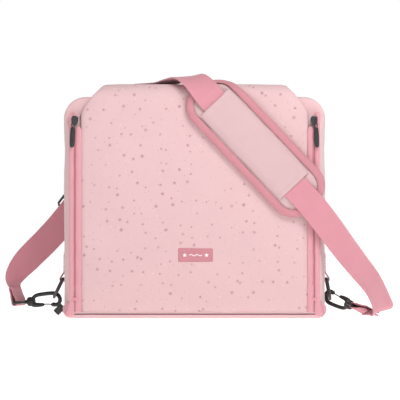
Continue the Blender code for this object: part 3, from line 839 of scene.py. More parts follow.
def gusset_cloth():
    """The strip of cloth that makes both sides and the top, rolled inwards at the front corners."""
    bend = TOP_CORNER * pi / 2
    rise = BODY_TOP - TOP_CORNER - HINGE_Z
    total = 2 * (rise + bend) + 2 * (HALF_WIDTH - TOP_CORNER)
    main = [SIDE_BACK_Y + 0.6 - (SIDE_BACK_Y + 54) * i / 26 for i in range(27)]
    side_front = [(-58, 6.0), (-61.5, 7.0), (-64.5, 8.0), (-66.4, 9.0), (-67.0, 10.0), (-67.2, 11.2)]
    ear_front = [(-58.0, 1.8), (-60.4, 2.9), (-61.3, 5.0), (-61.7, 10.0), (-61.6, 17.0), (-61.5, 25.5)]
    count = len(main) + len(side_front)

    def place(u, v):
        point, out, ear = around_body(v * total)
        index = round(u * (count - 1))
        top = out.z**2
        if index < len(main):
            y = main[index]
            back = max(0.0, y - (SIDE_BACK_Y - 5)) / 5
            inset = (HALF_WIDTH - side_half(y)) * (1 - 0.8 * top) + 1.4 * back**2
        else:
            k = index - len(main)
            (y_side, inset_side), (y_ear, inset_ear) = side_front[k], ear_front[k]
            y = y_side + (y_ear - y_side) * ear
            inset = inset_side + (inset_ear - inset_side) * ear
        fullness = sin(pi * min(max(depth_share(y), 0), 1))
        sag = 1.5 * rumple(y, point.z, 48, 5) + 0.7 * rumple(y, point.z, 17, 8)
        point = point - out * (inset - fullness * sag * (1 - 0.7 * top))
        point.y = y
        if ear and index >= len(main):
            point.y += 0.6 * ear * rumple(point.x, point.z, 12, 6)
        return point

    made = grid("gusset_cloth", place, count - 1, 150, SIDE_FABRIC, "root",
                ("left_side_panel", "right_side_panel", "top_panel"))
    return solid(made, 1.0, side=-1)


def ear_fronts():
    """The flat cloth that closes each upper front corner behind the flap's lip."""
    centre_x, centre_z, radius = HALF_WIDTH - TOP_CORNER, BODY_TOP - TOP_CORNER, TOP_CORNER - 7

    for name, side in (("left", -1), ("right", 1)):
        def place(u, v):
            z = centre_z + 5 + (radius - 5) * v
            reach = centre_x + sqrt(max(radius**2 - (z - centre_z) ** 2, 0))
            x = 106 + (reach - 106) * u
            return Vector((side * x, FRONT_Y + 8.9 + 0.4 * rumple(x, z, 14, 21), z))

        made = grid(name + "_ear_front", place, 24, 10, SIDE_FABRIC, "root", flip=side < 0)
        solid(made, 0.8, round_edges=0)


def back_cloth():
    """The back panel, softly swollen between its piped edges."""
    low, high = BACK_LOW, BACK_HIGH
    radius = 26.0

    def half_at(z):
        over = max(0.0, z - (high.z - radius))
        under = max(0.0, 6 - (z - low.z))
        return high.x - radius + sqrt(max(radius**2 - over**2, 0)) - (6 - sqrt(max(36 - under**2, 0)))

    def place(u, v):
        z = low.z + (high.z - low.z) * (1 - cos(pi * v)) / 2
        spread = sin(pi * (u - 0.5))
        x = spread * half_at(z)
        edge = min(half_at(z) - abs(x), z - low.z, high.z - z)
        full = 1 - exp(-max(edge, 0) / 9)
        y = high.y - 0.4 + full * (1.6 + 0.6 * rumple(x, z, 60, 11) + 0.3 * rumple(x, z, 22, 12))
        return Vector((x, y, z))

    made = grid("back_cloth", place, 60, 60, STAR_FABRIC, "root", ("back_panel",), flip=True)
    return solid(made, 1.2, side=-1)


def base_cloth():
    """The padded base: a shallow slab with rounded feet and softened front and back edges."""
    low, high = BASE_LOW, BASE_HIGH

    def outline(inset):
        centre = (HALF_WIDTH - FOOT_CORNER - 1, FOOT_CORNER)
        turn = -90 + 180 / pi * atan2(sqrt(FOOT_CORNER**2 - (FOOT_CORNER - high.z) ** 2),
                                      FOOT_CORNER - high.z)
        right = arc(centre, FOOT_CORNER - inset, -90, turn, 8)
        right = [(x, max(z, inset)) for x, z in right] + [(right[-1][0] - 1, high.z - inset)]
        flat = [(right[0][0] * (i / 10 - 1), inset) for i in range(1, 20)]
        top = [(right[-1][0] * (1 - i / 10), high.z - inset) for i in range(1, 20)]
        return flat + right + top + [(-x, z) for x, z in reversed(right)]

    rings = []
    for y, inset in ((low.y, 1.4), (low.y + 0.5, 0.5), (low.y + 1.6, 0.05), (high.y - 1.6, 0.05),
                     (high.y - 0.5, 0.5), (high.y, 1.4)):
        rings.append([(x, y, z) for x, z in outline(inset)])
    loft("base_cloth", rings, PLAIN_FABRIC, "root", ("base_panel",))


def edge_trim():
    """Piping round the back, the rolled joint under the flap, and a darker roll below it whose colour is
    painted shade for the gap under the flap's edge.
    """
    half, high, low = BACK_HIGH.x + 1.4, BODY_TOP - 0.8, HINGE_Z + 0.6
    upper, lower = 28, 10
    outline = (arc((half - lower, low + lower), lower, -90, 0, 6)
               + arc((half - upper, high - upper), upper, 0, 90, 10)
               + arc((upper - half, high - upper), upper, 90, 180, 10)
               + arc((lower - half, low + lower), lower, 180, 270, 6))
    line = every([Vector((x, BACK_HIGH.y + 0.4, z)) for x, z in [*outline, outline[0]]], 6)
    tube("rear_piping_cloth", line, 2.0, WEBBING, "root", ("rear_piping",), sides=8, closed=True)
    # The lower, darker roll is painted shade: its colour stands for the shadowed gap under the flap's edge.
    for name, z, radius, look in (("front_joint_cloth", HINGE_Z + 0.2, 1.4, PALE_ROLL),
                                  ("front_seam_piping", HINGE_Z - 2.1, 1.2, SEAM_SHADE)):
        line = [Vector((x, FRONT_Y + 1.3, z + 0.2 * rumple(x, 0, 20, 1))) for x in range(-160, 161, 4)]
        tube(name, line, radius, look, "root", sides=8)


# Zips

def lens(half, front, back, steps=7):
    """A puffed strip's section: points in (across, forwards), full in the middle, thin at its edges."""
    top = [(-half * cos(pi * i / steps), front * sin(pi * i / steps) ** 0.6) for i in range(steps + 1)]
    under = [(half * cos(pi * i / steps), -back * sin(pi * i / steps) ** 0.8) for i in range(1, steps)]
    return top + under


def zip_frame(name, side):
    """The plain cloth behind a zip, between the flap and the side."""
    def place(u, v):
        z = 8 + 262 * v
        tucked = 6.4 * min(1.0, max(0.0, (z - 252) / 16)) ** 1.5
        depth = 5.2 + 0.4 * rumple(u * 9, z, 18, 13 + side) + 2.2 * max(0.0, 1 - 5 * u) + tucked
        return Vector((side * (FLAP_HALF - 2 + 15 * u), FRONT_Y + depth, z))

    made = grid(name + "_zip_frame", place, 6, 60, PLAIN_FABRIC, "root", flip=side < 0)
    solid(made, 0.7, round_edges=0)


def zip_band(name, side, edges, low, high, body, replaces=()):
    """A puffed cloth strip that covers a zip's tape, between the edges found at each height."""
    foot = 4.0
    rings = []
    rows = 80
    for i in range(rows + 1):
        z = low + (high - low) * i / rows
        inner, outer = edges(z)
        taper = min(1.0, 0.35 + (high - z) / 6)
        middle = side * (inner + outer) / 2 + 0.25 * rumple(side * 10, z, 23, inner)
        tuck = 1.6 * max(0.0, 1 - (z - low) / foot) ** 2
        swell = 1 + 0.25 * rumple(0, z, 14, outer)
        rings.append([(middle + a * taper, FRONT_Y + 0.9 + tuck - d * swell, z)
                      for a, d in lens((outer - inner) / 2, 1.7, 0.5)])
    return loft(name, rings, BAND, body, replaces)


def flared(z):
    """The outer edge of a zip's outer band, which spreads out round the bag's lower corner."""
    straight = SIDE_FRONT_HALF + 0.4
    spread = max(0.0, 1 - (z - 2) / 24) ** 2
    corner = HALF_WIDTH - FOOT_CORNER + sqrt(FOOT_CORNER**2 - max(0.0, FOOT_CORNER - z) ** 2)
    return min(straight + 8 * spread, corner)


def zip_teeth(name, side, low, high, x, body, replaces, phase):
    """A zip's coil seen from the front: a row of small slanted loops."""
    pitch = 1.5
    count = int((high - low) / pitch)
    points, faces = [], []
    for i in range(count):
        z = low + pitch * (i + phase)
        centre = Vector((side * x, FRONT_Y - 0.35, z))
        first = len(points)
        for a in range(8):
            angle = 2 * pi * a / 8
            for across, thick in ((-1.4, 0.32), (0.0, 0.6), (1.4, 0.32)):
                points.append(centre + Vector((across, -cos(angle) * thick * 1.2,
                                               sin(angle) * thick + 0.18 * across * side)))
        for a in range(8):
            b = (a + 1) % 8
            for k in (0, 1):
                near, far = first + 3 * a + k, first + 3 * b + k
                faces.append((near, near + 1, far + 1, far))
        faces.append(tuple(first + 3 * a for a in range(8)))
        faces.append(tuple(first + 3 * a + 2 for a in range(7, -1, -1)))
    made = piece(name, points, faces, COIL, body, replaces)
    face_out(made)
    return made


def zip_end(name, side):
    """The tape's end, turned outwards round the lower corner and along the base."""
    path = [(159, FRONT_Y + 2.6), (162.5, FRONT_Y + 2.4), (165.5, FRONT_Y + 4.2), (167.4, FRONT_Y + 8),
            (168.6, FRONT_Y + 14), (169.6, FRONT_Y + 24), (170.6, FRONT_Y + 40)]
    line = smooth_through([(*p, 0) for p in path], 4)

    def place(u, v):
        index = round(u * (len(line) - 1))
        x, y = line[index].x, line[index].y
        share = index / (len(line) - 1)
        high = 20 - 7 * share**2 + 0.6 * sin(9 * share)
        z = 0.9 + (high - 0.9) * v
        tuck = FOOT_CORNER - sqrt(FOOT_CORNER**2 - max(0.0, FOOT_CORNER - z - 0.5) ** 2)
        outward = min(max((x - 156) / 8, 0), 1)
        swell = 0.8 * sin(pi * v) ** 0.5
        return Vector((side * (x + (swell - tuck) * outward), y - swell * (1 - outward), z))

    made = grid(name, place, len(line) - 1, 12, BAND, "root",
                (name.replace("cloth", "patch"),), flip=side < 0)
    solid(made, 0.9, side=-1)


def slider(name):
    """The slider's two curved plates round the coil, with the bridge that holds the puller."""
    low, high = cad(name + "_slider")
    middle = (low + high) / 2
    width, length = high.x - low.x, high.z - low.z

    def plate(y):
        points = []
        for k in range(28):
            angle = 2 * pi * k / 28
            z = length / 2 * sin(angle)
            waist = 1 - 0.22 * (1 - z / (length / 2)) / 2
            points.append(Vector((middle.x + width / 2 * waist * abs(cos(angle)) ** 0.55
                                  * (1 if cos(angle) > 0 else -1), y, middle.z + z)))
        return points

    def shrunk(ring, share, y):
        return [Vector((middle.x + (p.x - middle.x) * share, y, middle.z + (p.z - middle.z) * share))
                for p in ring]

    face_y = high.y - 6.4
    front = plate(face_y)
    rings = [shrunk(front, share, face_y + deep)
             for share, deep in ((0.9, 2.0), (1.0, 1.5), (1.0, 0.5), (0.93, 0.05), (0.8, -0.1))]
    loft(name + "_slider_front", rings, BLACK_METAL, name + "_slider", (name + "_slider",))
    rings = [shrunk(front, 0.9, high.y), shrunk(front, 1.0, high.y - 0.5), shrunk(front, 0.95, high.y - 1.1)]
    loft(name + "_slider_back", rings, BLACK_METAL, name + "_slider")
    post = [Vector((middle.x, y, high.z - 2)) for y in (face_y + 1.4, high.y - 3, high.y - 0.8)]
    tube(name + "_slider_post", post, 0.2, BLACK_METAL, name + "_slider", sides=8)
    pivot = Vector(JOINTS[name + "_puller_swing"]["pos_m"]) / MM
    bridge_radius = 2.35
    bridge = [(pivot.x, y, z) for y, z in arc((pivot.y, pivot.z), bridge_radius, 40, 320, 18)]
    tube(name + "_slider_bridge", bridge, 0.65, BLACK_METAL, name + "_slider", sides=10)


def puller(name, side):
    """A moulded puller with a waist and grip ridges, hanging from the slider's bridge."""
    low = cad(name + "_puller")[0]
    pivot = Vector(JOINTS[name + "_puller_swing"]["pos_m"]) / MM
    half = 3.2
    body = name + "_puller"
    rings = []
    rows = 40
    top, bottom = pivot.z - 5.0, low.z
    for i in range(rows + 1):
        share = i / rows
        z = top + (bottom - top) * share
        end = min(share / 0.08, (1 - share) / 0.1, 1)
        wide = (half * (0.8 + 0.2 * sin(pi * share))) * sqrt(max(1 - (1 - end) ** 2, 0.02))
        ridge = 0.2 * max(0.0, sin(share * 2 * pi * 7)) if 0.25 < share < 0.85 else 0.0
        thick = (1.15 + ridge) * (0.45 + 0.55 * end)
        lean = side * sin(radians(3.0)) * (pivot.z - z)
        rings.append([(pivot.x + lean + wide * cos(a), pivot.y + thick * sin(a), z)
                      for a in (2 * pi * k / 16 for k in range(16))])
    loft(body + "_grip", rings, BLACK_PLASTIC, body, (body,))
    eye = [(pivot.x + 2.0 * cos(a), pivot.y, pivot.z - 2.6 + 3.2 * sin(a))
           for a in (2 * pi * k / 20 for k in range(20))]
    tube(body + "_link", eye, 0.6, BLACK_METAL, body, sides=8, closed=True)


def zips():
    """Both zips: bands, teeth, ends, sliders and pullers."""
    for name, side in (("left", -1), ("right", 1)):
        tape_low, tape_high = cad(f"{name}_flap_tape")
        body_high = cad(f"{name}_body_tape")[1]
        coil_low, coil_high = cad(f"{name}_flap_coil")
        coil_x = max(abs(coil_low.x), abs(coil_high.x)) - 0.9
        body_coil = min(abs(corner.x) for corner in cad(f"{name}_body_coil")) + 0.9
        parting = (coil_x + body_coil) / 2
        inner_edges = (FLAP_HALF - 1.2, parting - 0.25)
        zip_band(f"{name}_flap_band", side, lambda z: inner_edges, tape_low.z, tape_high.z, "flap",
                 (f"{name}_flap_tape",))
        zip_band(f"{name}_lower_band", side, lambda z: inner_edges, 6.0, tape_low.z + 3, "root")
        zip_band(f"{name}_body_band", side, lambda z: (parting + 0.25, flared(z)), 1.8, body_high.z + 3,
                 "root", (f"{name}_body_tape",))
        zip_frame(name, side)
        zip_teeth(f"{name}_flap_teeth", side, coil_low.z, coil_high.z, coil_x, "flap",
                  (f"{name}_flap_coil",), 0.0)
        zip_teeth(f"{name}_body_teeth", side, 28, body_high.z, body_coil, "root", (f"{name}_body_coil",), 0.5)
        zip_end(f"{name}_zip_end_cloth", side)
        slider(name)
        puller(name, side)


# Strap

def on_flap(x, height, offset):
    """A point at a distance along the flap's outside, held off it: straight up, then over the bend."""
    corner = LIP_TOP - LIP_BEND
    if height <= corner:
        return Vector((x, FRONT_Y - offset, height))
    angle = min((height - corner) / (LIP_BEND + PAD_BACK + PAD_THICK), pi / 2)
    radius = LIP_BEND + offset
    over = height - corner - angle * (LIP_BEND + PAD_BACK + PAD_THICK)
    return Vector((x, FRONT_Y + LIP_BEND - radius * cos(angle) + over, corner + radius * sin(angle)))


def on_pad(along, across, offset):
    """A point on the pad, from its upper end and its middle line."""
    side = Vector((-STRAP_RUN.y, STRAP_RUN.x))
    flat = SLEEVE_TOP + STRAP_RUN * (along - PAD_UPPER) + side * across
    return on_flap(flat.x, flat.y, offset)


def pad_half(along, edge):
    """Half the width of the pad's rounded outline, drawn in by edge all round."""
    radius = PAD_CORNER - edge
    near = min(along, PAD_LENGTH - along) - edge
    short = max(radius - near, 0)
    return PAD_WIDTH / 2 - PAD_CORNER + sqrt(max(radius**2 - short**2, 0))


def out_of_the_way(made):
    """Gives a piece of the strap side its own copy of its mesh; nothing here folds it back behind the bag
    when the flap comes down.
    """
    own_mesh(made)


def pad_surface(name, low, high, half, offset, rows, columns, look, replaces, thick):
    """A sheet of the pad, between two distances along it, at an offset from the flap."""
    def place(u, v):
        along = low + (high - low) * v
        across = (2 * u - 1) * half(along)
        return on_pad(along, across, offset(along, across))

    made = grid(name, place, columns, rows, look, "pad", replaces, flip=True)
    return solid(made, thick, side=-1)


# The binding's section, in (outwards from the pad's outline, off the flap)
BINDING_SECTION = [(1.4, 3.4), (2.0, 5.0), (1.4, 7.2), (-1.2, 8.9), (-4.0, 9.4), (-7.0, 9.1), (-8.0, 8.2),
                   (-7.0, 7.6), (-3.4, 7.4), (-1.0, 5.4), (-3.4, 3.6), (-6.6, 3.2), (-3.4, 2.5), (0.2, 2.6)]


def pad():
    """The strap pad: a crowned cushion, a bound edge and a sleeve that the strap runs through."""
    def slab(along, across):
        return PAD_BACK + 4.4 + 0.3 * rumple(along, across, 24, 3)

    cushion = pad_surface("pad_cushion", CUSHION_EDGE, PAD_LENGTH - CUSHION_EDGE,
                          lambda along: pad_half(along, CUSHION_EDGE), slab, 84, 28, PAD_FABRIC,
                          ("pad_base",), 3.8)
    swell(cushion, 0.003)
    half, radius = PAD_WIDTH / 2, PAD_CORNER
    upper = [(radius - radius * cos(a), half - radius + radius * sin(a))
             for a in (pi / 2 * i / 12 for i in range(13))]
    right = [*upper, *((radius + (PAD_LENGTH - 2 * radius) * i / 40, half) for i in range(1, 40)),
             *((PAD_LENGTH - a, h) for a, h in reversed(upper))]
    rim = right + [(a, -h) for a, h in reversed(right)]
    rim = [rim[i] for i in range(len(rim)) if (Vector(rim[i]) - Vector(rim[i - 1])).length > 0.5]
    rings = []
    for i, (along, across) in enumerate(rim):
        run = (Vector(rim[(i + 1) % len(rim)]) - Vector(rim[i - 1])).normalized()
        out = Vector((-run.y, run.x))
        wave = 0.25 * rumple(along, across, 12, 5)
        rings.append([on_pad(along + out.x * p, across + out.y * p, q + wave) for p, q in BINDING_SECTION])
    loft("pad_binding_cloth", rings, BINDING, "pad", ("pad_binding",), closed=True)
    sew = [on_pad(along - (along - PAD_LENGTH / 2) * 0.03, across * (half - 7.0) / half, 8.95)
           for along, across in rim]
    stitches("pad_binding_stitching", [*sew, sew[0]], "pad")

    def sleeve_offset(along, across):
        share = abs(across) / SLEEVE_HALF
        lift = 12.9 if share < 0.66 else 12.9 - 4.1 * ((share - 0.66) / 0.34) ** 1.4
        end = min(along - PAD_UPPER, PAD_UPPER + SLEEVE_LENGTH - along)
        hem = 0.7 if end < 5 else (-0.35 if end < 6.5 else 0.0)
        return lift + hem + 0.5 * rumple(along, across, 30, 7) + 0.25 * rumple(along, across, 13, 8)

    pad_surface("pad_sleeve_cloth", PAD_UPPER, PAD_UPPER + SLEEVE_LENGTH, lambda along: SLEEVE_HALF,
                sleeve_offset, 90, 30, SLEEVE_FABRIC, ("pad_sleeve",), 1.0)
    for name, along in (("upper", PAD_UPPER + 5.6), ("lower", PAD_UPPER + SLEEVE_LENGTH - 5.6)):
        line = [on_pad(along, across, sleeve_offset(along, across) + 0.2) for across in range(-25, 26, 2)]
        stitches(f"sleeve_{name}_hem_stitching", line, "pad", look=THREAD_PALE)
    for thing in list(bpy.data.objects):
        if thing.name.startswith(("pad_", "sleeve_")) and "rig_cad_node" not in thing:
            apply_modifiers(thing)
            out_of_the_way(thing)


def swell(made, most):
    """Blows a closed cushion up with a cloth simulation, each point moving no further than most metres."""
    made.modifiers["thickness"].use_rim = True
    if "soft" in made.modifiers:
        made.modifiers.remove(made.modifiers["soft"])
    skin = made.modifiers.new("skin", "REMESH")
    skin.mode = "VOXEL"
    skin.voxel_size = 0.003
    apply_modifiers(made)
    made.data.shade_smooth()
    start = [vertex.co.copy() for vertex in made.data.vertices]
    back = made.vertex_groups.new(name="back")
    nearest = FRONT_Y * MM - 0.0035
    back.add([v.index for v in made.data.vertices if v.co.y > nearest], 1.0, "REPLACE")
    cloth = made.modifiers.new("cloth", "CLOTH")
    cloth.settings.use_pressure = True
    cloth.settings.uniform_pressure_force = 4
    cloth.settings.effector_weights.gravity = 0
    cloth.settings.vertex_group_mass = back.name
    for number in range(1, 21):
        bpy.context.scene.frame_set(number)
    apply_modifiers(made)
    bpy.context.scene.frame_set(1)
    made.vertex_groups.clear()
    for vertex, before in zip(made.data.vertices, start):
        moved = vertex.co - before
        if moved.length > most:
            vertex.co = before + moved.normalized() * most
    finer = made.modifiers.new("finer", "SUBSURF")
    finer.levels = 1
    finer.render_levels = 1
    apply_modifiers(made)


def apply_modifiers(made):
    """Makes a piece's mesh what its modifiers show, and drops them."""
    if made.modifiers:
        bpy.context.view_layer.update()
        seen = made.evaluated_get(bpy.context.evaluated_depsgraph_get())
        mesh = bpy.data.meshes.new_from_object(seen)
        made.modifiers.clear()
        made.data = mesh


def strap_route(start, end):
    """Rows of centre and width direction, from the left hook behind the bag and down the front."""
    down = Vector((-STRAP_RUN.y, STRAP_RUN.x))
    front = (down.x, 0.0, down.y)
    return [
        (*start, 0.3, 0.95, 0.0),
        (-240, 70.5, 46, 0.56, 0.8, -0.2),
        (-233, 72.5, 60, 0.68, 0.55, -0.45),
        (-218, 74.5, 77, 0.74, 0.2, -0.63),
        (-196, 76, 99, 0.755, 0.05, -0.65),
        (-173, 77, 125, 0.77, 0.0, -0.64),
        (-143, 77.5, 164, 0.79, 0.0, -0.6),
        (-113, 77.5, 208, 0.84, 0.0, -0.54),
        (-90, 77.5, 250, 0.88, 0.0, -0.46),
        (-77, 77.5, 278, 0.92, 0.0, -0.36),
        (-70, 75, 294, 0.95, 0.1, -0.2),
        (-64, 66, 302, 0.96, 0.2, -0.08),
        (-56, 48, 304.5, 0.95, 0.3, 0.0),
        (-44, 18, 304.2, 0.94, 0.34, 0.0),
        (-34, -15, 304.4, 0.92, 0.38, 0.0),
        (-24, -42, 307.0, 0.86, 0.48, 0.0),
        (-12, -60.5, 310.0, 0.8, 0.58, 0.1),
        (1.5, -74, 304.6, 0.74, 0.48, 0.47),
        (15, -81.3, 290.0, 0.726, 0.1, 0.68),
        (25.9, -80.8, 277.1, *front),
        (76.8, -80.8, 223.4, *front),
        (127.7, -80.8, 169.6, *front),
        (150, -80.6, 145.6, *front),
        (171, -78, 119, 0.74, 0.1, 0.66),
        (192, -70, 91, 0.74, 0.3, 0.58),
        (212, -56, 66, 0.7, 0.5, 0.45),
        (229, -40, 45, 0.66, 0.66, 0.28),
        (239, -27, 27, 0.63, 0.72, 0.18),
        (243.5, -15, 13.5, 0.63, 0.75, 0.1),
        (242, -3, 7.2, 0.67, 0.72, 0.14),
        (*end, 0.69, 0.66, 0.29),
    ]


def web_rings(centres, widths, width, thick):
    """Webbing's section at each centre: flat, with rounded selvedges a little thicker than its middle."""
    rings = []
    last = len(centres) - 1
    for i, (centre, wide) in enumerate(zip(centres, widths)):
        run = (centres[min(i + 1, last)] - centres[max(i - 1, 0)]).normalized()
        wide = (wide - run * wide.dot(run)).normalized()
        out = run.cross(wide)
        half, deep = width / 2, thick / 2
        section = [(-half, 0), (-half + 0.5, deep), (-half + 2, deep * 1.05), (-half + 3, deep * 0.85),
                   (-half / 2, deep * 0.9), (0, deep * 0.92), (half / 2, deep * 0.9), (half - 3, deep * 0.85),
                   (half - 2, deep * 1.05), (half - 0.5, deep), (half, 0)]
        section += [(a, -d) for a, d in reversed(section[1:-1])]
        rings.append([centre + wide * a + out * d for a, d in section])
    return rings


# Hooks and rings

EYE_REACH = 50.0           # from the ring's wire to the eye's bar, along the hook
EYE_AXIS = -3.0            # the swivel's line, across from the ring's wire


class HookFrame:
    """A hook's own axes, from its joints: along it to the eye, towards its spine, and across."""

    def __init__(self, name):
        self.rod = Vector(JOINTS[name + "_hook_swing"]["pos_m"]) / MM
        self.u = Vector(JOINTS[name + "_eye_swivel"]["axis"])
        self.w = -Vector(JOINTS[name + "_gate_press"]["axis"])
        self.v = self.w.cross(self.u)

    def at(self, u, v, w=0.0):
        """A point in the world from the hook's own axes."""
        return self.rod + self.u * u + self.v * v + self.w * w

    def roll(self, degrees):
        """Turns the axes about the hook's swivel, for its eye."""
        turn = Matrix.Rotation(radians(degrees), 3, self.u)
        rolled = turn @ self.v
        self.rod += (self.v - rolled) * EYE_AXIS
        self.v, self.w = rolled, turn @ self.w

    def turned(self, profile, sides=20):
        """Rings of a shape turned about the hook's swivel axis, from (along, radius) pairs."""
        angles = [2 * pi * k / sides for k in range(sides)]
        return [[self.at(u, EYE_AXIS + r * cos(a), r * sin(a)) for a in angles] for u, r in profile]


def snap_hook(name, hook):
    """The hook's body: a curved arm, fuller in the middle, a ridged barrel and the gate's lug."""
    spine = [(31, EYE_AXIS), (29, 1.5), (24, 4.6), (12, 5.6), (0, 5.4), (-5.2, 3.2), (-8, -2),
             (-7.2, -7), (-3, -9.8), (2.2, -9.4)]
    path = [hook.at(*row) for row in smooth_through(spine, 5)]
    tube(name + "_hook_arm", path, lambda t: 2.35 + 0.35 * sin(pi * t) + 0.5 * max(0, t - 0.85) / 0.15,
         BLACK_PLASTIC, name + "_hook", (name + "_hook",), sides=16)
    barrel = [(27.4, 2.4), (27.8, 4.6), (28.6, 5.9), (29.6, 6.3), (31.0, 6.3), (31.4, 5.8), (32.2, 5.8),
              (32.6, 6.3), (34.0, 6.3), (34.4, 5.8), (35.2, 5.8), (35.6, 6.2), (36.4, 5.8), (36.9, 4.8),
              (37, 2.5)]
    loft(name + "_hook_barrel", hook.turned(barrel), BLACK_PLASTIC, name + "_hook")
    lug = [hook.at(u, v) for u, v in smooth_through([(29.5, -7.0), (26, -8.0), (21, -8.4), (16.4, -8.4)], 4)]
    tube(name + "_hook_lug", lug, lambda t: 3.7 - 1.4 * t, BLACK_PLASTIC, name + "_hook",
         sides=14)
    leaf = [hook.at(u, v) for u, v in smooth_through([(17.5, -8.3), (13, -8.1), (9, -8.4), (5.0, -8.9)], 4)]
    tube(name + "_gate_leaf", leaf, 0.75, BLACK_METAL, name + "_gate", (name + "_gate",),
         sides=10)
    pin = [hook.at(16.2, -8.4, w) for w in (-2.9, 0, 2.9)]
    tube(name + "_gate_pin", pin, 0.7, BLACK_METAL, name + "_hook", sides=10)


def swivel_eye(name, hook):
    """The flat loop that holds the webbing, with its collar and stem."""
    half, near, far = 20.5, 41.5, EYE_REACH
    corner = 3.0
    outline = []
    for u, w, start in ((far - corner, half - corner, 0), (near + corner, half - corner, 90),
                        (near + corner, corner - half, 180), (far - corner, corner - half, 270)):
        outline += arc((u, w), corner, start, start + 90, 5)
    line = [hook.at(u, EYE_AXIS, w) for u, w in outline]
    tube(name + "_eye_loop", line, 1.85, BLACK_PLASTIC, name + "_eye",
         (name + "_swivel_eye",), sides=12, closed=True)
    stem = [(31.6, 1.2), (31.8, 2.0), (37.2, 2.1), (37.5, 3.4), (38.6, 3.4), (39, 2.2), (41, 2.3), (42, 1.5)]
    loft(name + "_eye_stem", hook.turned(stem, 14), BLACK_PLASTIC, name + "_eye")


def strap_end(name, hook, run):
    """The webbing's end, folded round the eye's bar and sewn, and where the strap goes on from it."""
    bar = hook.at(EYE_REACH, EYE_AXIS)
    run = (run - hook.w * run.dot(hook.w)).normalized()
    out = hook.w.cross(run)
    tail = [(21, 1.75), (16.5, 1.8), (11, 2.1), (6, 3.0)]
    loop = tail + arc((0, 0), 3.5, 62, 298, 14) + [(a, -b) for a, b in reversed(tail)]
    centres = [bar + run * a + out * b for a, b in loop]
    rings = web_rings(centres, [hook.w] * len(centres), WEB_WIDTH, 1.6)
    loft(name + "_strap_end_cloth", rings, WEBBING, name + "_eye", (name + "_strap_end",))
    for lift, word in ((2.6, "upper"), (-2.6, "lower")):
        line = [bar + run * 13 + out * lift + hook.w * w for w in range(-14, 15, 2)]
        stitches(f"{name}_strap_end_{word}_stitching", line, name + "_eye")
    return bar + run * BAR_TO_STRAP


def d_ring(name):
    """The wire ring that hangs from its tab."""
    pivot = Vector(JOINTS[name + "_ring_swing"]["pos_m"]) / MM
    rod = Vector(JOINTS[name + "_hook_swing"]["pos_m"]) / MM
    down = (rod - pivot).normalized()
    half, depth = 16.0, (rod - pivot).length
    outline = [(half - 1, 0)] + arc((0, depth - half), half, 0, 180, 24) + [(1 - half, 0)]
    outline += [(1 - half + (2 * half - 2) * i / 6, 0) for i in range(1, 6)]
    line = [pivot + Vector((0, w, 0)) + down * d for w, d in outline]
    tube(name + "_ring_wire", line, 2.0, BLACK_METAL, name + "_ring", (name + "_d_ring",),
         sides=14, closed=True)
    return pivot


def ring_tab(name, side, pivot):
    """The webbing tab that holds the ring, folded round its bar and box-stitched to the side."""
    low, high = cad(name + "_ring_tab")
    wall = side_half(pivot.y - 12) + 0.9
    x = abs(pivot.x)
    line = [(wall, high.z), (wall, pivot.z + 14), (wall, pivot.z + 7)]
    line += arc((x, pivot.z), 3.4, 150, 390, 14)
    line += [(wall + 2.4, pivot.z + 9), (wall + 1.9, pivot.z + 18), (wall + 1.9, high.z)]
    centres = [Vector((side * a, pivot.y, b)) for a, b in line]
    rings = web_rings(centres, [Vector((0, 1, 0))] * len(centres), high.y - low.y, 1.5)
    loft(name + "_ring_tab_cloth", rings, WEBBING, "root", (name + "_ring_tab",))
    out = side * (wall + 2.8)
    y0, y1, z0, z1 = pivot.y - 9, pivot.y + 9, pivot.z + 14, high.z - 3
    box = [Vector((out, y, z)) for y, z in ((y0, z0), (y1, z0), (y1, z1), (y0, z1), (y0, z0), (y1, z1))]
    stitches(name + "_ring_tab_stitching", box, "root")


def hardware_and_strap():
    """The rings, tabs, hooks and strap ends of both sides, and the strap between them."""
    joins = {}
    for name, side, roll, run in (("left", -1, 0, Vector((-0.28, 0.1, 1))),
                                  ("right", 1, -18, Vector((0.8, -0.55, -0.12)))):
        pivot = d_ring(name)
        ring_tab(name, side, pivot)
        hook = HookFrame(name)
        snap_hook(name, hook)
        hook.roll(roll)
        swivel_eye(name, hook)
        joins[name] = strap_end(name, hook, run)
    rows = smooth_through(strap_route(joins["left"], joins["right"]), 8)
    centres = [Vector(row[:3]) for row in rows]
    widths = [Vector(row[3:]).normalized() for row in rows]
    strap = loft("strap_webbing", web_rings(centres, widths, WEB_WIDTH, WEB_THICK), WEBBING, "root",
                 ("shoulder_strap",))
    out_of_the_way(strap)


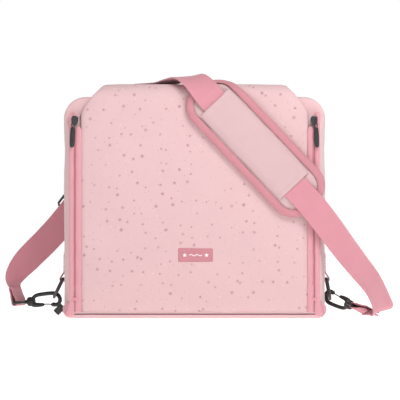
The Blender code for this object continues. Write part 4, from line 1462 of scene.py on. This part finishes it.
def adjuster():
    """A tri-glide: two end bars behind the webbing, a middle bar in front, and two side rails."""
    run = Vector(JOINTS["adjuster_slide"]["axis"])
    wide = Vector((run.z, 0, -run.x))
    middle = Vector((-158.5, 77.4, 143.8))
    out = Vector((0, 1, 0))
    rail = WEB_WIDTH / 2 + 2.8
    corners = [(rail - 2, 12), (2 - rail, 12), (-rail, 10), (-rail, -10), (2 - rail, -12), (rail - 2, -12),
               (rail, -10), (rail, 10)]
    line = [middle + wide * w + run * r + out * 2.6 for w, r in corners]
    tube("adjuster_frame", line, 1.6, BLACK_PLASTIC, "adjuster", ("strap_adjuster",),
         sides=12, closed=True)
    bar = smooth_through([middle + wide * w + out * d for w, d in
                          ((-rail, 2.6), (1.5 - rail, -2.0), (0, -2.5), (rail - 1.5, -2.0), (rail, 2.6))], 5)
    tube("adjuster_bar", bar, 1.35, BLACK_PLASTIC, "adjuster", sides=12)
    for name in ("adjuster_frame", "adjuster_bar"):
        out_of_the_way(bpy.data.objects[name])


def corner_tab():
    """The small ribbed tab at the lower left corner."""
    low, high = cad("left_corner_tab")
    middle = (low + high) / 2
    run = Vector((1, 0, 1)).normalized()
    up = Vector((-1, 0, 1)).normalized()
    rings = []
    for i in range(29):
        share = i / 28
        rib = 0.55 * max(0.0, sin(share * 2 * pi * 4)) if 0.08 < share < 0.8 else 0.0
        end = min(1.0, share / 0.06 + 0.5, (1 - share) / 0.06 + 0.5)
        centre = middle + run * (share - 0.5) * 13.6
        rings.append([centre + up * a * (4.4 + rib) * end + Vector((0, 1, 0)) * d * (1.9 + rib) * end
                      for a, d in ((cos(t), sin(t)) for t in (2 * pi * k / 18 for k in range(18)))])
    loft("corner_tab_ribbed", rings, BLACK_PLASTIC, "root", ("left_corner_tab",))


def kept_nodes():
    """Finishes for the CAD pieces that stay as they are."""
    looks = {"foam": FOAM, "board": BOARD, "black_cloth": PILE, "black_metal": BLACK_METAL,
             "black_plastic": BLACK_PLASTIC}
    slots = {row["node"]: row["material_slot"] for row in frame["record"]["subparts"]}
    for name, node in frame["nodes"].items():
        look = STOP_METAL if name.endswith("_stop") else looks.get(slots[name])
        if look:
            node.data.materials.clear()
            node.data.materials.append(look)


stage_set()
flap_cloth()
lip_hem()
flap_inside()
label()
gusset_cloth()
ear_fronts()
back_cloth()
base_cloth()
edge_trim()
zips()
hardware_and_strap()
adjuster()
pad()
corner_tab()
kept_nodes()
